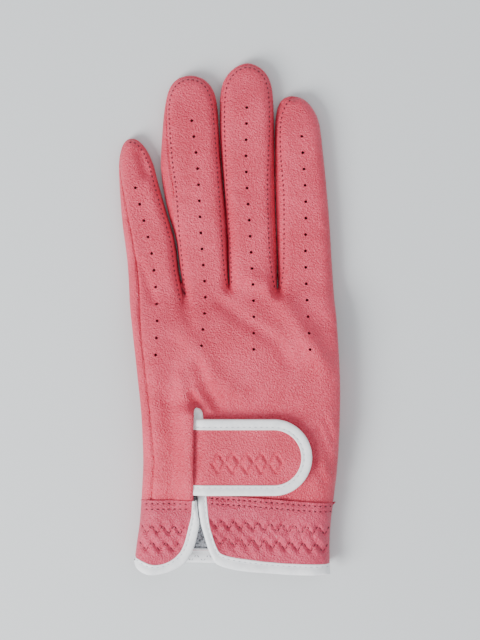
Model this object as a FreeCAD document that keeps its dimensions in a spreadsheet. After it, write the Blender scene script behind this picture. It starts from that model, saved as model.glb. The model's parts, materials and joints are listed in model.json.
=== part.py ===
import FreeCAD, Part
import math
import os
import Sketcher

# A leather golf glove for the left hand, lying on its palm with the thumb folded under it.
# Frame: +X across the hand towards the index finger, +Y towards the fingertips, +Z up from
# the surface it lies on. The origin is under the middle of the whole glove.
# The leather is flat or bent sheet, so each wall is a thin plate and every stall is hollow.

# ---------------------------------------------------------------- driving sizes, in mm

SIZES = {
    # leather, seams and clearances
    "leather": 0.8,
    "flex_gap": 0.8,
    "stall_gap": 0.6,
    "seam_gap": 0.3,
    "elastic": 0.6,
    "mesh": 0.4,
    "pad_pile": 0.8,
    "binding_width": 4.2,
    "binding_lap": 0.3,
    # heights above the surface
    "finger_height": 7.8,
    "thumb_height": 6.6,
    "palm_lift": 7.0,
    "back_height": 14.6,
    # the hand, read along Y
    "hem_y": -105.0,
    "seam_y": -73.5,
    "heel_y": -40.0,
    "heel_rise_low": -60.0,
    "heel_rise_high": -48.0,
    "knuckle_fall_high": 2.0,
    "knuckle_fall_low": 12.0,
    # the hand, read along X
    "hand_left": -41.8,
    "heel_left": -37.4,
    "wrist_left": -36.5,
    "hem_left": -39.5,
    "heel_right": 45.6,
    "wrist_right": 43.0,
    "hem_right": 41.4,
    # finger stalls: width at the knuckle, sideways drift of the tip, radius of the tip,
    # Y of the knuckle fold, length to the middle joint and length to the tip
    "little_width": 20.4,
    "little_drift": -8.6,
    "little_tip_radius": 5.9,
    "little_knuckle": 16.0,
    "little_joint": 27.0,
    "little_length": 58.6,
    "ring_width": 20.0,
    "ring_drift": -5.8,
    "ring_tip_radius": 10.0,
    "ring_knuckle": 22.0,
    "ring_joint": 37.0,
    "ring_length": 78.0,
    "middle_width": 20.0,
    "middle_drift": -2.8,
    "middle_tip_radius": 10.3,
    "middle_knuckle": 22.0,
    "middle_joint": 39.0,
    "middle_length": 83.0,
    "index_width": 22.6,
    "index_drift": -3.6,
    "index_tip_radius": 9.6,
    "index_knuckle": 22.0,
    "index_joint": 34.0,
    "index_length": 69.8,
    # depth of the forks between the stalls
    "little_ring_fork": 5.7,
    "ring_middle_fork": 12.7,
    "middle_index_fork": 11.0,
    # the thumb stall
    "thumb_fold_x": 43.0,
    "thumb_y": -31.0,
    "thumb_angle": 58.0,
    "thumb_width": 22.0,
    "thumb_tip_radius": 10.0,
    "thumb_length": 52.0,
    "thumb_hole_radius": 17.0,
    "thumb_lip_height": 12.2,
    # the wrist opening in the back and its closing tab
    "slit_x": -14.2,
    "slit_width": 1.2,
    "slit_top": -36.0,
    "tab_y": -55.6,
    "tab_length": 47.9,
    "tab_width": 30.7,
    "pad_left": 8.0,
    "pad_length": 20.0,
    "pad_width": 18.0,
    "pad_clearance": 0.3,
    # the cuff
    "flap_round": 11.0,
    "left_flap_foot": -13.0,
    "left_hem_y": -101.0,
    "right_flap_foot": -7.4,
    "elastic_top": -79.6,
    "elastic_width": 14.4,
    "elastic_inset": 3.0,
    "gusset_top": -72.0,
    "gusset_half_width": 9.0,
    "loop_width": 3.8,
    "loop_length": 5.0,
}

document = FreeCAD.newDocument("golf_glove")
sheet = document.addObject("Spreadsheet::Sheet", "Sizes")
for row, (alias, value) in enumerate(SIZES.items(), start=1):
    sheet.set(f"A{row}", alias)
    sheet.set(f"B{row}", str(value))
    sheet.setAlias(f"B{row}", alias)
document.recompute()


# ---------------------------------------------------------------- sizes that carry a formula

class Size:
    """A length and the spreadsheet formula that gives it."""

    def __init__(self, number, formula):
        self.number = number
        self.formula = formula

    def __add__(self, other):
        other = as_size(other)
        return Size(self.number + other.number, f"({self.formula} + {other.formula})")

    def __sub__(self, other):
        other = as_size(other)
        return Size(self.number - other.number, f"({self.formula} - {other.formula})")

    def __mul__(self, other):
        other = as_size(other)
        return Size(self.number * other.number, f"({self.formula} * {other.formula})")

    def __truediv__(self, other):
        other = as_size(other)
        return Size(self.number / other.number, f"({self.formula} / {other.formula})")


def as_size(value):
    """A plain number as a Size."""
    if isinstance(value, Size):
        return value
    return Size(float(value), f"({float(value)})")


def named(alias):
    """The spreadsheet value with this alias."""
    return Size(SIZES[alias], f"Sizes.{alias}")


def between(start, end, share):
    """The value a share of the way from start to end."""
    return start + (end - start) * share


GROUND = as_size(0)
LEATHER = named("leather")
FLEX_GAP = named("flex_gap")
SEAM_GAP = named("seam_gap")
BINDING = named("binding_width")
LAP = named("binding_lap")
BACK_TOP = named("back_height")
BACK_UNDER = BACK_TOP - LEATHER
PALM_UNDER = named("palm_lift")
PALM_TOP = PALM_UNDER + LEATHER
STALL_TOP = named("finger_height")
STALL_UNDER = STALL_TOP - LEATHER
HEM = named("hem_y")
SEAM = named("seam_y")

nodes = []


# ---------------------------------------------------------------- ways of making a piece

def corner(x, y):
    """A point of an outline where a straight edge starts."""
    return (as_size(x), as_size(y), None, 0)


def arc_start(x, y, centre, turn):
    """A point where an arc about centre starts; turn is 1 anticlockwise and -1 clockwise."""
    return (as_size(x), as_size(y), centre, turn)


def edge_shape(start, end):
    """One edge of an outline, from start to the next point."""
    first = FreeCAD.Vector(start[0].number, start[1].number, 0)
    last = FreeCAD.Vector(end[0].number, end[1].number, 0)
    if start[2] is None:
        return Part.LineSegment(first, last)
    middle = FreeCAD.Vector(start[2][0].number, start[2][1].number, 0)
    low, high = (first, last) if start[3] > 0 else (last, first)
    angles = [math.atan2(point.y - middle.y, point.x - middle.x) for point in (low, high)]
    circle = Part.Circle(middle, FreeCAD.Vector(0, 0, 1), (first - middle).Length)
    return Part.ArcOfCircle(circle, *angles)


def bind(sketch, axis, edge, vertex, size):
    """Tie one coordinate of a sketch point to its formula."""
    place = sketch.addConstraint(
        Sketcher.Constraint("Distance" + axis, -1, 1, edge, vertex, size.number))
    name = f"{axis.lower()}_{edge}_{vertex}"
    sketch.renameConstraint(place, name)
    sketch.setExpression(f"Constraints.{name}", size.formula)


def draw(body, plane_role, outline, offset):
    """A closed sketch on one of the body's own planes, raised by offset."""
    plane = [feature for feature in body.Origin.OriginFeatures if feature.Role == plane_role][0]
    sketch = body.newObject("Sketcher::SketchObject", body.Name + "_outline")
    sketch.AttachmentSupport = (plane, [""])
    sketch.MapMode = "FlatFace"
    sketch.setExpression("AttachmentOffset.Base.z", offset.formula)
    count = len(outline)
    for index, start in enumerate(outline):
        sketch.addGeometry(edge_shape(start, outline[(index + 1) % count]), False)
    ends = [(2, 1) if start[3] < 0 else (1, 2) for start in outline]
    for index, start in enumerate(outline):
        following = (index + 1) % count
        sketch.addConstraint(Sketcher.Constraint(
            "Coincident", index, ends[index][1], following, ends[following][0]))
        bind(sketch, "X", index, ends[index][0], start[0])
        bind(sketch, "Y", index, ends[index][0], start[1])
        if start[2] is not None:
            end = outline[following]
            wide = abs(end[0].number - start[0].number) > abs(end[1].number - start[1].number)
            axis, centre = ("Y", start[2][1]) if wide else ("X", start[2][0])
            bind(sketch, axis, index, 3, centre)
    return sketch


def sheet_body(label, outline, low, high, plane_role="XY_Plane"):
    """A body padded from one closed outline, from low to high across its plane."""
    body = document.addObject("PartDesign::Body", label)
    body.Label = label
    sketch = draw(body, plane_role, outline, as_size(low))
    pad = body.newObject("PartDesign::Pad", label + "_pad")
    pad.Profile = sketch
    pad.setExpression("Length", (as_size(high) - as_size(low)).formula)
    return body


def plate(label, outline, low, high):
    """A node that is one flat plate."""
    node = sheet_body(label, outline, low, high)
    nodes.append(node)
    return node


def bent_plate(label, outline, profile, keep=True):
    """A node cut to a plan outline from a sheet bent to a profile in the YZ plane."""
    plan = sheet_body(label + "_plan", outline, GROUND, BACK_TOP)
    side = sheet_body(label + "_side", profile, named("hand_left") * 2, named("heel_right") * 2,
                      "YZ_Plane")
    node = document.addObject("Part::Common", label)
    node.Label = label
    node.Base = plan
    node.Tool = side
    if keep:
        nodes.append(node)
    return node


def round_corner(node, x, y, radius):
    """Round the upright edge of a flat plate that stands at x, y."""
    document.recompute()
    base = node.Tip
    found = []
    for number, edge in enumerate(base.Shape.Edges, start=1):
        ends = [vertex.Point for vertex in edge.Vertexes]
        if len(ends) == 2 and all(math.hypot(p.x - x.number, p.y - y.number) < 0.01 for p in ends):
            found.append(f"Edge{number}")
    fillet = node.newObject("PartDesign::Fillet", f"{node.Name}_round_{len(node.Group)}")
    fillet.Base = (base, found)
    fillet.setExpression("Radius", radius.formula)


# ---------------------------------------------------------------- where the stalls stand

FINGERS = ("little", "ring", "middle", "index")
FORKS = {
    ("little", "ring"): named("little_ring_fork"),
    ("ring", "middle"): named("ring_middle_fork"),
    ("middle", "index"): named("middle_index_fork"),
}


class Stall:
    """The plan of one finger stall: two edges that run from the knuckle to the round tip."""

    def __init__(self, name, left):
        width = named(name + "_width")
        self.name = name
        self.left_at_knuckle = left
        self.right_at_knuckle = left + width
        self.knuckle = named(name + "_knuckle")
        self.joint = self.knuckle + named(name + "_joint")
        self.radius = named(name + "_tip_radius")
        self.tip_x = left + width / 2 + named(name + "_drift")
        self.tip_y = self.knuckle + named(name + "_length") - self.radius

    def edge(self, side, y, inset=GROUND):
        """X of the left (-1) or right (1) edge at y, moved inwards by inset."""
        start = self.left_at_knuckle if side < 0 else self.right_at_knuckle
        end = self.tip_x + self.radius * side
        share = (y - self.knuckle) / (self.tip_y - self.knuckle)
        return between(start, end, share) - inset * side


stalls = []
stall_left = named("hand_left")
for finger in FINGERS:
    stalls.append(Stall(finger, stall_left))
    stall_left = stalls[-1].right_at_knuckle + named("stall_gap")
LITTLE, RING, MIDDLE, INDEX = stalls


# ---------------------------------------------------------------- finger stalls

def tip_plate(base_left, base_right, centre, radius):
    """Outline of a plate with a half-round end."""
    return [
        corner(*base_left),
        corner(*base_right),
        arc_start(centre[0] + radius, centre[1], centre, 1),
        corner(centre[0] - radius, centre[1]),
    ]


def tip_wall(side, base, centre, radius):
    """Outline of the wall along one side of a tip, as far as the middle of its round end."""
    inner = radius - LEATHER
    return [
        corner(*base),
        arc_start(centre[0] + radius * side, centre[1], centre, side),
        corner(centre[0], centre[1] + radius),
        arc_start(centre[0], centre[1] + inner, centre, -side),
        corner(centre[0] + inner * side, centre[1]),
        corner(base[0] - LEATHER * side, base[1]),
    ]


def segment_names(finger, segment):
    """Names of the two side walls of a finger segment, left then right."""
    left = "seam_side" if finger == "little" else "fourchette_left"
    right = "fold_side" if finger == "index" else "fourchette_right"
    return f"{finger}_{segment}_{left}", f"{finger}_{segment}_{right}"


def root_segment(stall):
    """The four plates of a stall between its knuckle fold and its middle joint."""
    low = stall.knuckle + FLEX_GAP
    high = stall.joint - FLEX_GAP
    outline = [
        corner(stall.edge(-1, low), low),
        corner(stall.edge(1, low), low),
        corner(stall.edge(1, high), high),
        corner(stall.edge(-1, high), high),
    ]
    plate(f"{stall.name}_root_palm", outline, GROUND, LEATHER)
    plate(f"{stall.name}_root_back", outline, STALL_UNDER, STALL_TOP)
    for side, label in zip((-1, 1), segment_names(stall.name, "root")):
        wall = [
            corner(stall.edge(side, low), low),
            corner(stall.edge(side, high), high),
            corner(stall.edge(side, high, LEATHER), high),
            corner(stall.edge(side, low, LEATHER), low),
        ]
        plate(label, wall, LEATHER, STALL_UNDER)


def tip_segment(stall):
    """The four plates of a stall between its middle joint and its tip."""
    low = stall.joint + FLEX_GAP
    centre = (stall.tip_x, stall.tip_y)
    outline = tip_plate((stall.edge(-1, low), low), (stall.edge(1, low), low), centre, stall.radius)
    plate(f"{stall.name}_tip_palm", outline, GROUND, LEATHER)
    plate(f"{stall.name}_tip_back", outline, STALL_UNDER, STALL_TOP)
    for side, label in zip((-1, 1), segment_names(stall.name, "tip")):
        wall = tip_wall(side, (stall.edge(side, low), low), centre, stall.radius)
        plate(label, wall, LEATHER, STALL_UNDER)


for stall in stalls:
    root_segment(stall)
    tip_segment(stall)


# ---------------------------------------------------------------- hand panels

FAR_DOWN = HEM - 1
FAR_UP = named("middle_knuckle") * 2
FALL_HIGH = named("knuckle_fall_high")
FALL_LOW = named("knuckle_fall_low")
RISE_LOW = named("heel_rise_low")
RISE_HIGH = named("heel_rise_high")
SLIT_LEFT = named("slit_x") - named("slit_width") / 2
SLIT_RIGHT = named("slit_x") + named("slit_width") / 2


def back_line(height_lost):
    """The bent line of the back panel, lowered by height_lost, from the hem to the stalls."""
    return [
        (FAR_DOWN, BACK_TOP - height_lost),
        (FALL_HIGH, BACK_TOP - height_lost),
        (FALL_LOW, STALL_TOP - height_lost),
        (FAR_UP, STALL_TOP - height_lost),
    ]


def palm_line(raised):
    """The bent line of the palm panel, raised, from the hem to the stalls."""
    return [
        (FAR_DOWN, GROUND + raised),
        (RISE_LOW, GROUND + raised),
        (RISE_HIGH, PALM_UNDER + raised),
        (FALL_HIGH, PALM_UNDER + raised),
        (FALL_LOW, GROUND + raised),
        (FAR_UP, GROUND + raised),
    ]


def profile(lower, upper):
    """A closed profile between two lines that both run from the hem to the stalls."""
    return [corner(*point) for point in lower + upper[::-1]]


WALL_PROFILE = profile(palm_line(LEATHER), back_line(LEATHER))


def stall_edge_points():
    """The top edge of a hand panel: each stall's knuckle fold, with a fork after it."""
    points = []
    for number, stall in enumerate(stalls):
        fold = stall.knuckle - FLEX_GAP
        points.append(corner(stall.left_at_knuckle, fold))
        points.append(corner(stall.right_at_knuckle, fold))
        if number + 1 < len(stalls):
            following = stalls[number + 1]
            points.append(corner(
                between(stall.right_at_knuckle, following.left_at_knuckle, 0.5),
                FORKS[stall.name, following.name]))
    return points


side_edges_left = [
    corner(named("wrist_left"), SEAM + SEAM_GAP),
    corner(named("heel_left"), named("heel_y")),
]
side_edges_right = [
    corner(named("heel_right"), named("heel_y")),
    corner(named("wrist_right"), SEAM + SEAM_GAP),
]
slit_edges = [
    corner(SLIT_RIGHT, SEAM + SEAM_GAP),
    corner(SLIT_RIGHT, named("slit_top")),
    corner(SLIT_LEFT, named("slit_top")),
    corner(SLIT_LEFT, SEAM + SEAM_GAP),
]

bent_plate("back_panel", side_edges_left + stall_edge_points() + side_edges_right + slit_edges,
           profile(back_line(LEATHER), back_line(GROUND)))

palm_blank = bent_plate("palm_blank", side_edges_left + stall_edge_points() + side_edges_right,
                        profile(palm_line(GROUND), palm_line(LEATHER)), keep=False)
thumb_hole = document.addObject("Part::Cylinder", "thumb_hole")
thumb_hole.Label = "thumb_hole"
thumb_hole.setExpression("Radius", "Sizes.thumb_hole_radius")
thumb_hole.setExpression("Height", "Sizes.back_height")
thumb_hole.setExpression("Placement.Base.x", "Sizes.thumb_fold_x")
thumb_hole.setExpression("Placement.Base.y", "Sizes.thumb_y")
palm_panel = document.addObject("Part::Cut", "palm_panel")
palm_panel.Label = "palm_panel"
palm_panel.Base = palm_blank
palm_panel.Tool = thumb_hole
nodes.append(palm_panel)


# ---------------------------------------------------------------- hand sides and forks

def side_strip(points, thickness):
    """A wall seen from above: a line of points and the same line moved along X."""
    inner = [(x + thickness, y) for x, y in points]
    return [corner(*point) for point in points + inner[::-1]]


bent_plate("outer_side_strip", side_strip([
    (named("hem_left"), HEM),
    (named("wrist_left"), SEAM),
    (named("heel_left"), named("heel_y")),
    (LITTLE.left_at_knuckle, LITTLE.knuckle - FLEX_GAP),
], LEATHER), WALL_PROFILE)

hole_low = RISE_HIGH
hole_high = named("thumb_y") + named("thumb_hole_radius") + 1
lip_height = named("thumb_lip_height")
lip_line = palm_line(LEATHER)[:3] + [
    (hole_low, lip_height),
    (hole_high, lip_height),
    (hole_high, PALM_TOP),
] + palm_line(LEATHER)[3:]
bent_plate("index_side_fold", side_strip([
    (named("hem_right"), HEM),
    (named("wrist_right"), SEAM),
    (named("heel_right"), named("heel_y")),
    (INDEX.right_at_knuckle, INDEX.knuckle - FLEX_GAP),
], LEATHER * -1), profile(lip_line, back_line(LEATHER)))

for first, second in zip(stalls, stalls[1:]):
    fork_x = between(first.right_at_knuckle, second.left_at_knuckle, 0.5)
    fork_y = FORKS[first.name, second.name]
    bent_plate(f"{first.name}_{second.name}_fork", [
        corner(fork_x, fork_y - LEATHER * 2),
        corner(second.left_at_knuckle + LEATHER, second.knuckle - FLEX_GAP),
        corner(second.left_at_knuckle, second.knuckle - FLEX_GAP),
        corner(fork_x, fork_y),
        corner(first.right_at_knuckle, first.knuckle - FLEX_GAP),
        corner(first.right_at_knuckle - LEATHER, first.knuckle - FLEX_GAP),
    ], WALL_PROFILE)


# ---------------------------------------------------------------- thumb stall

def turned(node):
    """Stand a piece of the thumb on its fold line, turned across the palm."""
    place = FreeCAD.Vector(SIZES["thumb_fold_x"], SIZES["thumb_y"], 0)
    turn = FreeCAD.Rotation(FreeCAD.Vector(0, 0, 1), SIZES["thumb_angle"])
    node.Placement = FreeCAD.Placement(place, turn)


THUMB_HALF = named("thumb_width") / 2
thumb_slope = Size(1 / math.tan(math.radians(SIZES["thumb_angle"])),
                   "(1 / tan(Sizes.thumb_angle * 1deg))")
thumb_radius = named("thumb_tip_radius")
thumb_centre = (GROUND, named("thumb_length") - thumb_radius)
mouth = {side: (THUMB_HALF * side, THUMB_HALF * thumb_slope * side) for side in (-1, 1)}
hole_edge = named("thumb_hole_radius")
thumb_plan = tip_plate(mouth[-1], mouth[1], thumb_centre, thumb_radius)
front_plan = tip_plate((THUMB_HALF * -1, hole_edge), (THUMB_HALF, hole_edge), thumb_centre,
                       thumb_radius)
THUMB_TOP = named("thumb_height")
turned(plate("thumb_back", thumb_plan, GROUND, LEATHER))
turned(plate("thumb_front", front_plan, THUMB_TOP - LEATHER, THUMB_TOP))
for side, label in ((-1, "thumb_side_lower"), (1, "thumb_side_upper")):
    wall = tip_wall(side, mouth[side], thumb_centre, thumb_radius)
    turned(plate(label, wall, LEATHER, THUMB_TOP - LEATHER))


# ---------------------------------------------------------------- cuff

FLAP_LOW = BACK_UNDER - LAP
FLAP_HIGH = BACK_TOP + LAP
left_hem = named("left_hem_y")
left_foot = named("left_flap_foot")
right_foot = named("right_flap_foot")
CUFF_TOP = SEAM - SEAM_GAP



def inside_wall(side, y):
    """X of the inner face of the cuff's side wall, left (-1) or right (1), at y."""
    edge = "left" if side < 0 else "right"
    share = (y - HEM) / (SEAM - HEM)
    return between(named("hem_" + edge), named("wrist_" + edge), share) - LEATHER * side


cuff_left = plate("cuff_left_flap", [
    corner(named("wrist_left"), CUFF_TOP),
    corner(named("hem_left"), left_hem + BINDING),
    corner(left_foot - BINDING, left_hem + BINDING),
    corner(SLIT_LEFT - LEATHER, CUFF_TOP),
], BACK_UNDER, BACK_TOP)
round_corner(cuff_left, left_foot - BINDING, left_hem + BINDING, named("flap_round"))

binding_left = plate("binding_left", [
    corner(SLIT_LEFT - LEATHER, CUFF_TOP),
    corner(left_foot - BINDING, left_hem + BINDING),
    corner(inside_wall(-1, left_hem + BINDING), left_hem + BINDING),
    corner(inside_wall(-1, left_hem), left_hem),
    corner(left_foot, left_hem),
    corner(SLIT_LEFT, CUFF_TOP),
], FLAP_LOW, FLAP_HIGH)
round_corner(binding_left, left_foot - BINDING, left_hem + BINDING, named("flap_round"))
round_corner(binding_left, left_foot, left_hem, named("flap_round") + BINDING)

plate("cuff_right_flap", [
    corner(SLIT_RIGHT + BINDING, CUFF_TOP),
    corner(right_foot + BINDING, HEM + BINDING),
    corner(named("hem_right"), HEM + BINDING),
    corner(named("wrist_right"), CUFF_TOP),
], BACK_UNDER, BACK_TOP)

plate("binding_right", [
    corner(SLIT_RIGHT, CUFF_TOP),
    corner(right_foot, HEM),
    corner(inside_wall(1, HEM), HEM),
    corner(inside_wall(1, HEM), HEM + BINDING),
    corner(right_foot + BINDING, HEM + BINDING),
    corner(SLIT_RIGHT + BINDING, CUFF_TOP),
], FLAP_LOW, FLAP_HIGH)

plate("cuff_palm", [
    corner(named("hem_left"), HEM + BINDING),
    corner(named("hem_right"), HEM + BINDING),
    corner(named("wrist_right"), CUFF_TOP),
    corner(named("wrist_left"), CUFF_TOP),
], GROUND, LEATHER)

plate("binding_palm_hem", [
    corner(inside_wall(-1, HEM), HEM),
    corner(inside_wall(1, HEM), HEM),
    corner(inside_wall(1, HEM), HEM + BINDING),
    corner(inside_wall(-1, HEM + BINDING), HEM + BINDING),
], GROUND, LEATHER + LAP * 2)


def strip(label, left, right, high_y, low_y, low, high):
    """A rectangular plate."""
    return plate(label, [
        corner(left, low_y),
        corner(right, low_y),
        corner(right, high_y),
        corner(left, high_y),
    ], low, high)


elastic_top = named("elastic_top")
elastic_foot = elastic_top - named("elastic_width")
elastic_under = BACK_UNDER - named("elastic")
inset = named("elastic_inset")
strip("elastic_left", named("wrist_left") + inset, SLIT_LEFT - BINDING - inset, elastic_top,
      elastic_foot, elastic_under, BACK_UNDER)
strip("elastic_right", right_foot + BINDING + inset, named("hem_right") - inset, elastic_top,
      elastic_foot, elastic_under, BACK_UNDER)
strip("elastic_palm", named("wrist_left") + inset, named("hem_right") - inset, elastic_top,
      elastic_foot, LEATHER, LEATHER + named("elastic"))

gusset_top = elastic_under - LAP
plate("vent_gusset", [
    corner(named("slit_x"), named("gusset_top")),
    corner(named("slit_x") - named("gusset_half_width"), left_hem),
    corner(named("slit_x") + named("gusset_half_width"), left_hem),
], gusset_top - named("mesh"), gusset_top)

loop_half = named("loop_width") / 2
plate("slit_loop", tip_plate(
    (named("slit_x") - loop_half, named("slit_top") - named("loop_length")),
    (named("slit_x") + loop_half, named("slit_top") - named("loop_length")),
    (named("slit_x"), named("slit_top")), loop_half), BACK_TOP, BACK_TOP + named("mesh"))


# ---------------------------------------------------------------- closing tab

tab_y = named("tab_y")
tab_left = SLIT_LEFT + SEAM_GAP
tab_radius = named("tab_width") / 2
tab_centre = (SLIT_LEFT + named("tab_length") - tab_radius, tab_y)
hook_low = BACK_TOP + named("pad_pile") + named("pad_clearance")
lining_low = hook_low + named("pad_pile")
tab_low = lining_low + named("mesh")
tab_high = tab_low + LEATHER


def tab_outline(radius):
    """Outline of the tab: straight sides and a half-round end that points to +X."""
    top = tab_y + radius
    foot = tab_y - radius
    return [
        corner(tab_left, foot),
        arc_start(tab_centre[0], foot, tab_centre, 1),
        corner(tab_centre[0], top),
        corner(tab_left, top),
    ]


def tab_band(outer, inner):
    """Outline of the band that runs along the tab's sides and round its end."""
    return [
        corner(tab_left, tab_y - outer),
        arc_start(tab_centre[0], tab_y - outer, tab_centre, 1),
        corner(tab_centre[0], tab_y + outer),
        corner(tab_left, tab_y + outer),
        corner(tab_left, tab_y + inner),
        arc_start(tab_centre[0], tab_y + inner, tab_centre, -1),
        corner(tab_centre[0], tab_y - inner),
        corner(tab_left, tab_y - inner),
    ]


plate("tab_leather", tab_outline(tab_radius - BINDING), tab_low, tab_high)
plate("tab_lining", tab_outline(tab_radius - BINDING), lining_low, tab_low)
plate("tab_binding", tab_band(tab_radius, tab_radius - BINDING), lining_low, tab_high + LAP)
pad_right = named("pad_left") + named("pad_length")
pad_half = named("pad_width") / 2
strip("hook_pad", named("pad_left"), pad_right, tab_y + pad_half, tab_y - pad_half, hook_low,
      lining_low)
strip("loop_pad", named("pad_left"), pad_right, tab_y + pad_half, tab_y - pad_half, BACK_TOP,
      BACK_TOP + named("pad_pile"))


# ---------------------------------------------------------------- recompute, check, write

document.recompute()
for item in document.Objects:
    if "Invalid" in item.State or "Error" in item.State:
        raise RuntimeError(f"{item.Label} failed: {item.State}")
for node in nodes:
    if node.Shape.isNull() or not node.Shape.isValid() or node.Shape.Volume <= 0:
        raise RuntimeError(f"{node.Label} has no valid solid")
    if len(node.Shape.Solids) != 1:
        raise RuntimeError(f"{node.Label} has {len(node.Shape.Solids)} solids")

os.makedirs("parts", exist_ok=True)
for node in nodes:
    node.Shape.exportStep(f"parts/{node.Label}.step")
    box = node.Shape.BoundBox
    print(f"{node.Label:26s} x {box.XMin:6.1f} {box.XMax:6.1f}  y {box.YMin:6.1f} {box.YMax:6.1f}"
          f"  z {box.ZMin:5.2f} {box.ZMax:5.2f}  {node.Shape.Volume:8.1f} mm3")
print(len(nodes), "nodes")
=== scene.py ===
# %% [markdown]
# # A leather golf glove, built around its mechanical frame
# The frame holds what moves: the finger stalls, the thumb and the wrist tab. This script
# cuts, rolls and sews the leather around it. Lengths are in millimetres until a mesh is
# made, because a glove cutter thinks in millimetres.

# %% Load the frame
import json
import math
import bpy
import numpy as np
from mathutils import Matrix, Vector, noise
from mathutils.geometry import delaunay_2d_cdt


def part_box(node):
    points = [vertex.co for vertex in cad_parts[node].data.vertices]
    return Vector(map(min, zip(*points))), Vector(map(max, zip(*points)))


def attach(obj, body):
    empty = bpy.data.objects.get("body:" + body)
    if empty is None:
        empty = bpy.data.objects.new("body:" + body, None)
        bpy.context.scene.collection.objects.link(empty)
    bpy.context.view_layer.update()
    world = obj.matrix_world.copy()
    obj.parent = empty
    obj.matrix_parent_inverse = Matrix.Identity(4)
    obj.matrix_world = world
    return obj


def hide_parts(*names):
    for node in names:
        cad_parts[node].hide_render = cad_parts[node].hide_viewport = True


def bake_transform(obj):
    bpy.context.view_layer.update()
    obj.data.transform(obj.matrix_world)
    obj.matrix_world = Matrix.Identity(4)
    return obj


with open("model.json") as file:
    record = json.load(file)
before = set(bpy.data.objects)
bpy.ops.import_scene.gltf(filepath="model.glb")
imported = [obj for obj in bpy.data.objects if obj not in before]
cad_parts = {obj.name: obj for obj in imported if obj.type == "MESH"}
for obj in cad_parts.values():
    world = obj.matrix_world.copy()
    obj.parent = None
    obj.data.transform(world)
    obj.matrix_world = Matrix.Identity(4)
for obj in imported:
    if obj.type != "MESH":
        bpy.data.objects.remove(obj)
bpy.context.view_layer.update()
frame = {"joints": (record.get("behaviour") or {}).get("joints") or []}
MM = 0.001
joints = {joint["name"]: joint for joint in frame["joints"]}


def joint_y(name):
    """Y of a joint's hinge line, in millimetres."""
    return joints[name]["pos_m"][1] / MM

# %% [markdown]
# ## Where the leather bends
# Leather is one sheet, but the frame bends at hinge lines. Each stall is cut into a root
# and a tip piece a little before its hinge, where nothing moves yet.

# %% Bending zones
FINGERS = ("little", "ring", "middle", "index")
BEND_HALF = 9.3
ROOT_START = {name: joint_y(name + "_knuckle") - BEND_HALF for name in FINGERS}
TIP_START = {name: joint_y(name + "_middle_joint") - BEND_HALF for name in FINGERS}


def bend(piece, finger, segment):
    """Bake a piece of a stall into place; the start of its bending zone is worked out but not used.
    """
    y = ROOT_START[finger] if segment == "root" else TIP_START[finger]
    y * MM
    (y + 2 * BEND_HALF) * MM
    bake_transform(piece)


STALL_PARTS = [(name, segment, 2 * number + step) for number, name in enumerate(FINGERS)
               for step, segment in enumerate(("root", "tip"), start=1)]
print("root pieces start at y", ROOT_START)

# %% [markdown]
# ## The outline of the glove
# A cutter draws a glove with a few points and a flexible ruler. The same is done here: each
# outline is a short list of points, and a Catmull-Rom curve runs through them.

# %% Flexible ruler


def ruler(points, step=0.8, closed=False):
    """A smooth curve through points, sampled about every step millimetres."""
    points = np.array(points, float)
    if closed:
        padded = np.vstack([points[-1], points, points[0], points[1]])
    else:
        padded = np.vstack([2 * points[0] - points[1], points, 2 * points[-1] - points[-2]])
    samples = []
    for a, b, c, d in zip(padded, padded[1:], padded[2:], padded[3:]):
        count = max(1, round(np.linalg.norm(c - b) / step))
        for t in np.arange(count)[:, None] / count:
            samples.append(0.5 * (2 * b + (c - a) * t + (2 * a - 5 * b + 4 * c - d) * t ** 2
                                  + (3 * b - a - 3 * c + d) * t ** 3))
    if not closed:
        samples.append(points[-1][None])
    return np.vstack(samples)


def normals_2d(line):
    """Unit normals on the left of an open line's direction of travel."""
    along = np.gradient(line, axis=0)
    along /= np.linalg.norm(along, axis=1)[:, None]
    return np.column_stack([-along[:, 1], along[:, 0]])


def offset_line(line, distance):
    """The line moved to the left of its direction of travel."""
    return line + normals_2d(line) * distance


print("a quarter circle from three points has", len(ruler([(10, 0), (7, 7), (0, 10)])), "samples")

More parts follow.
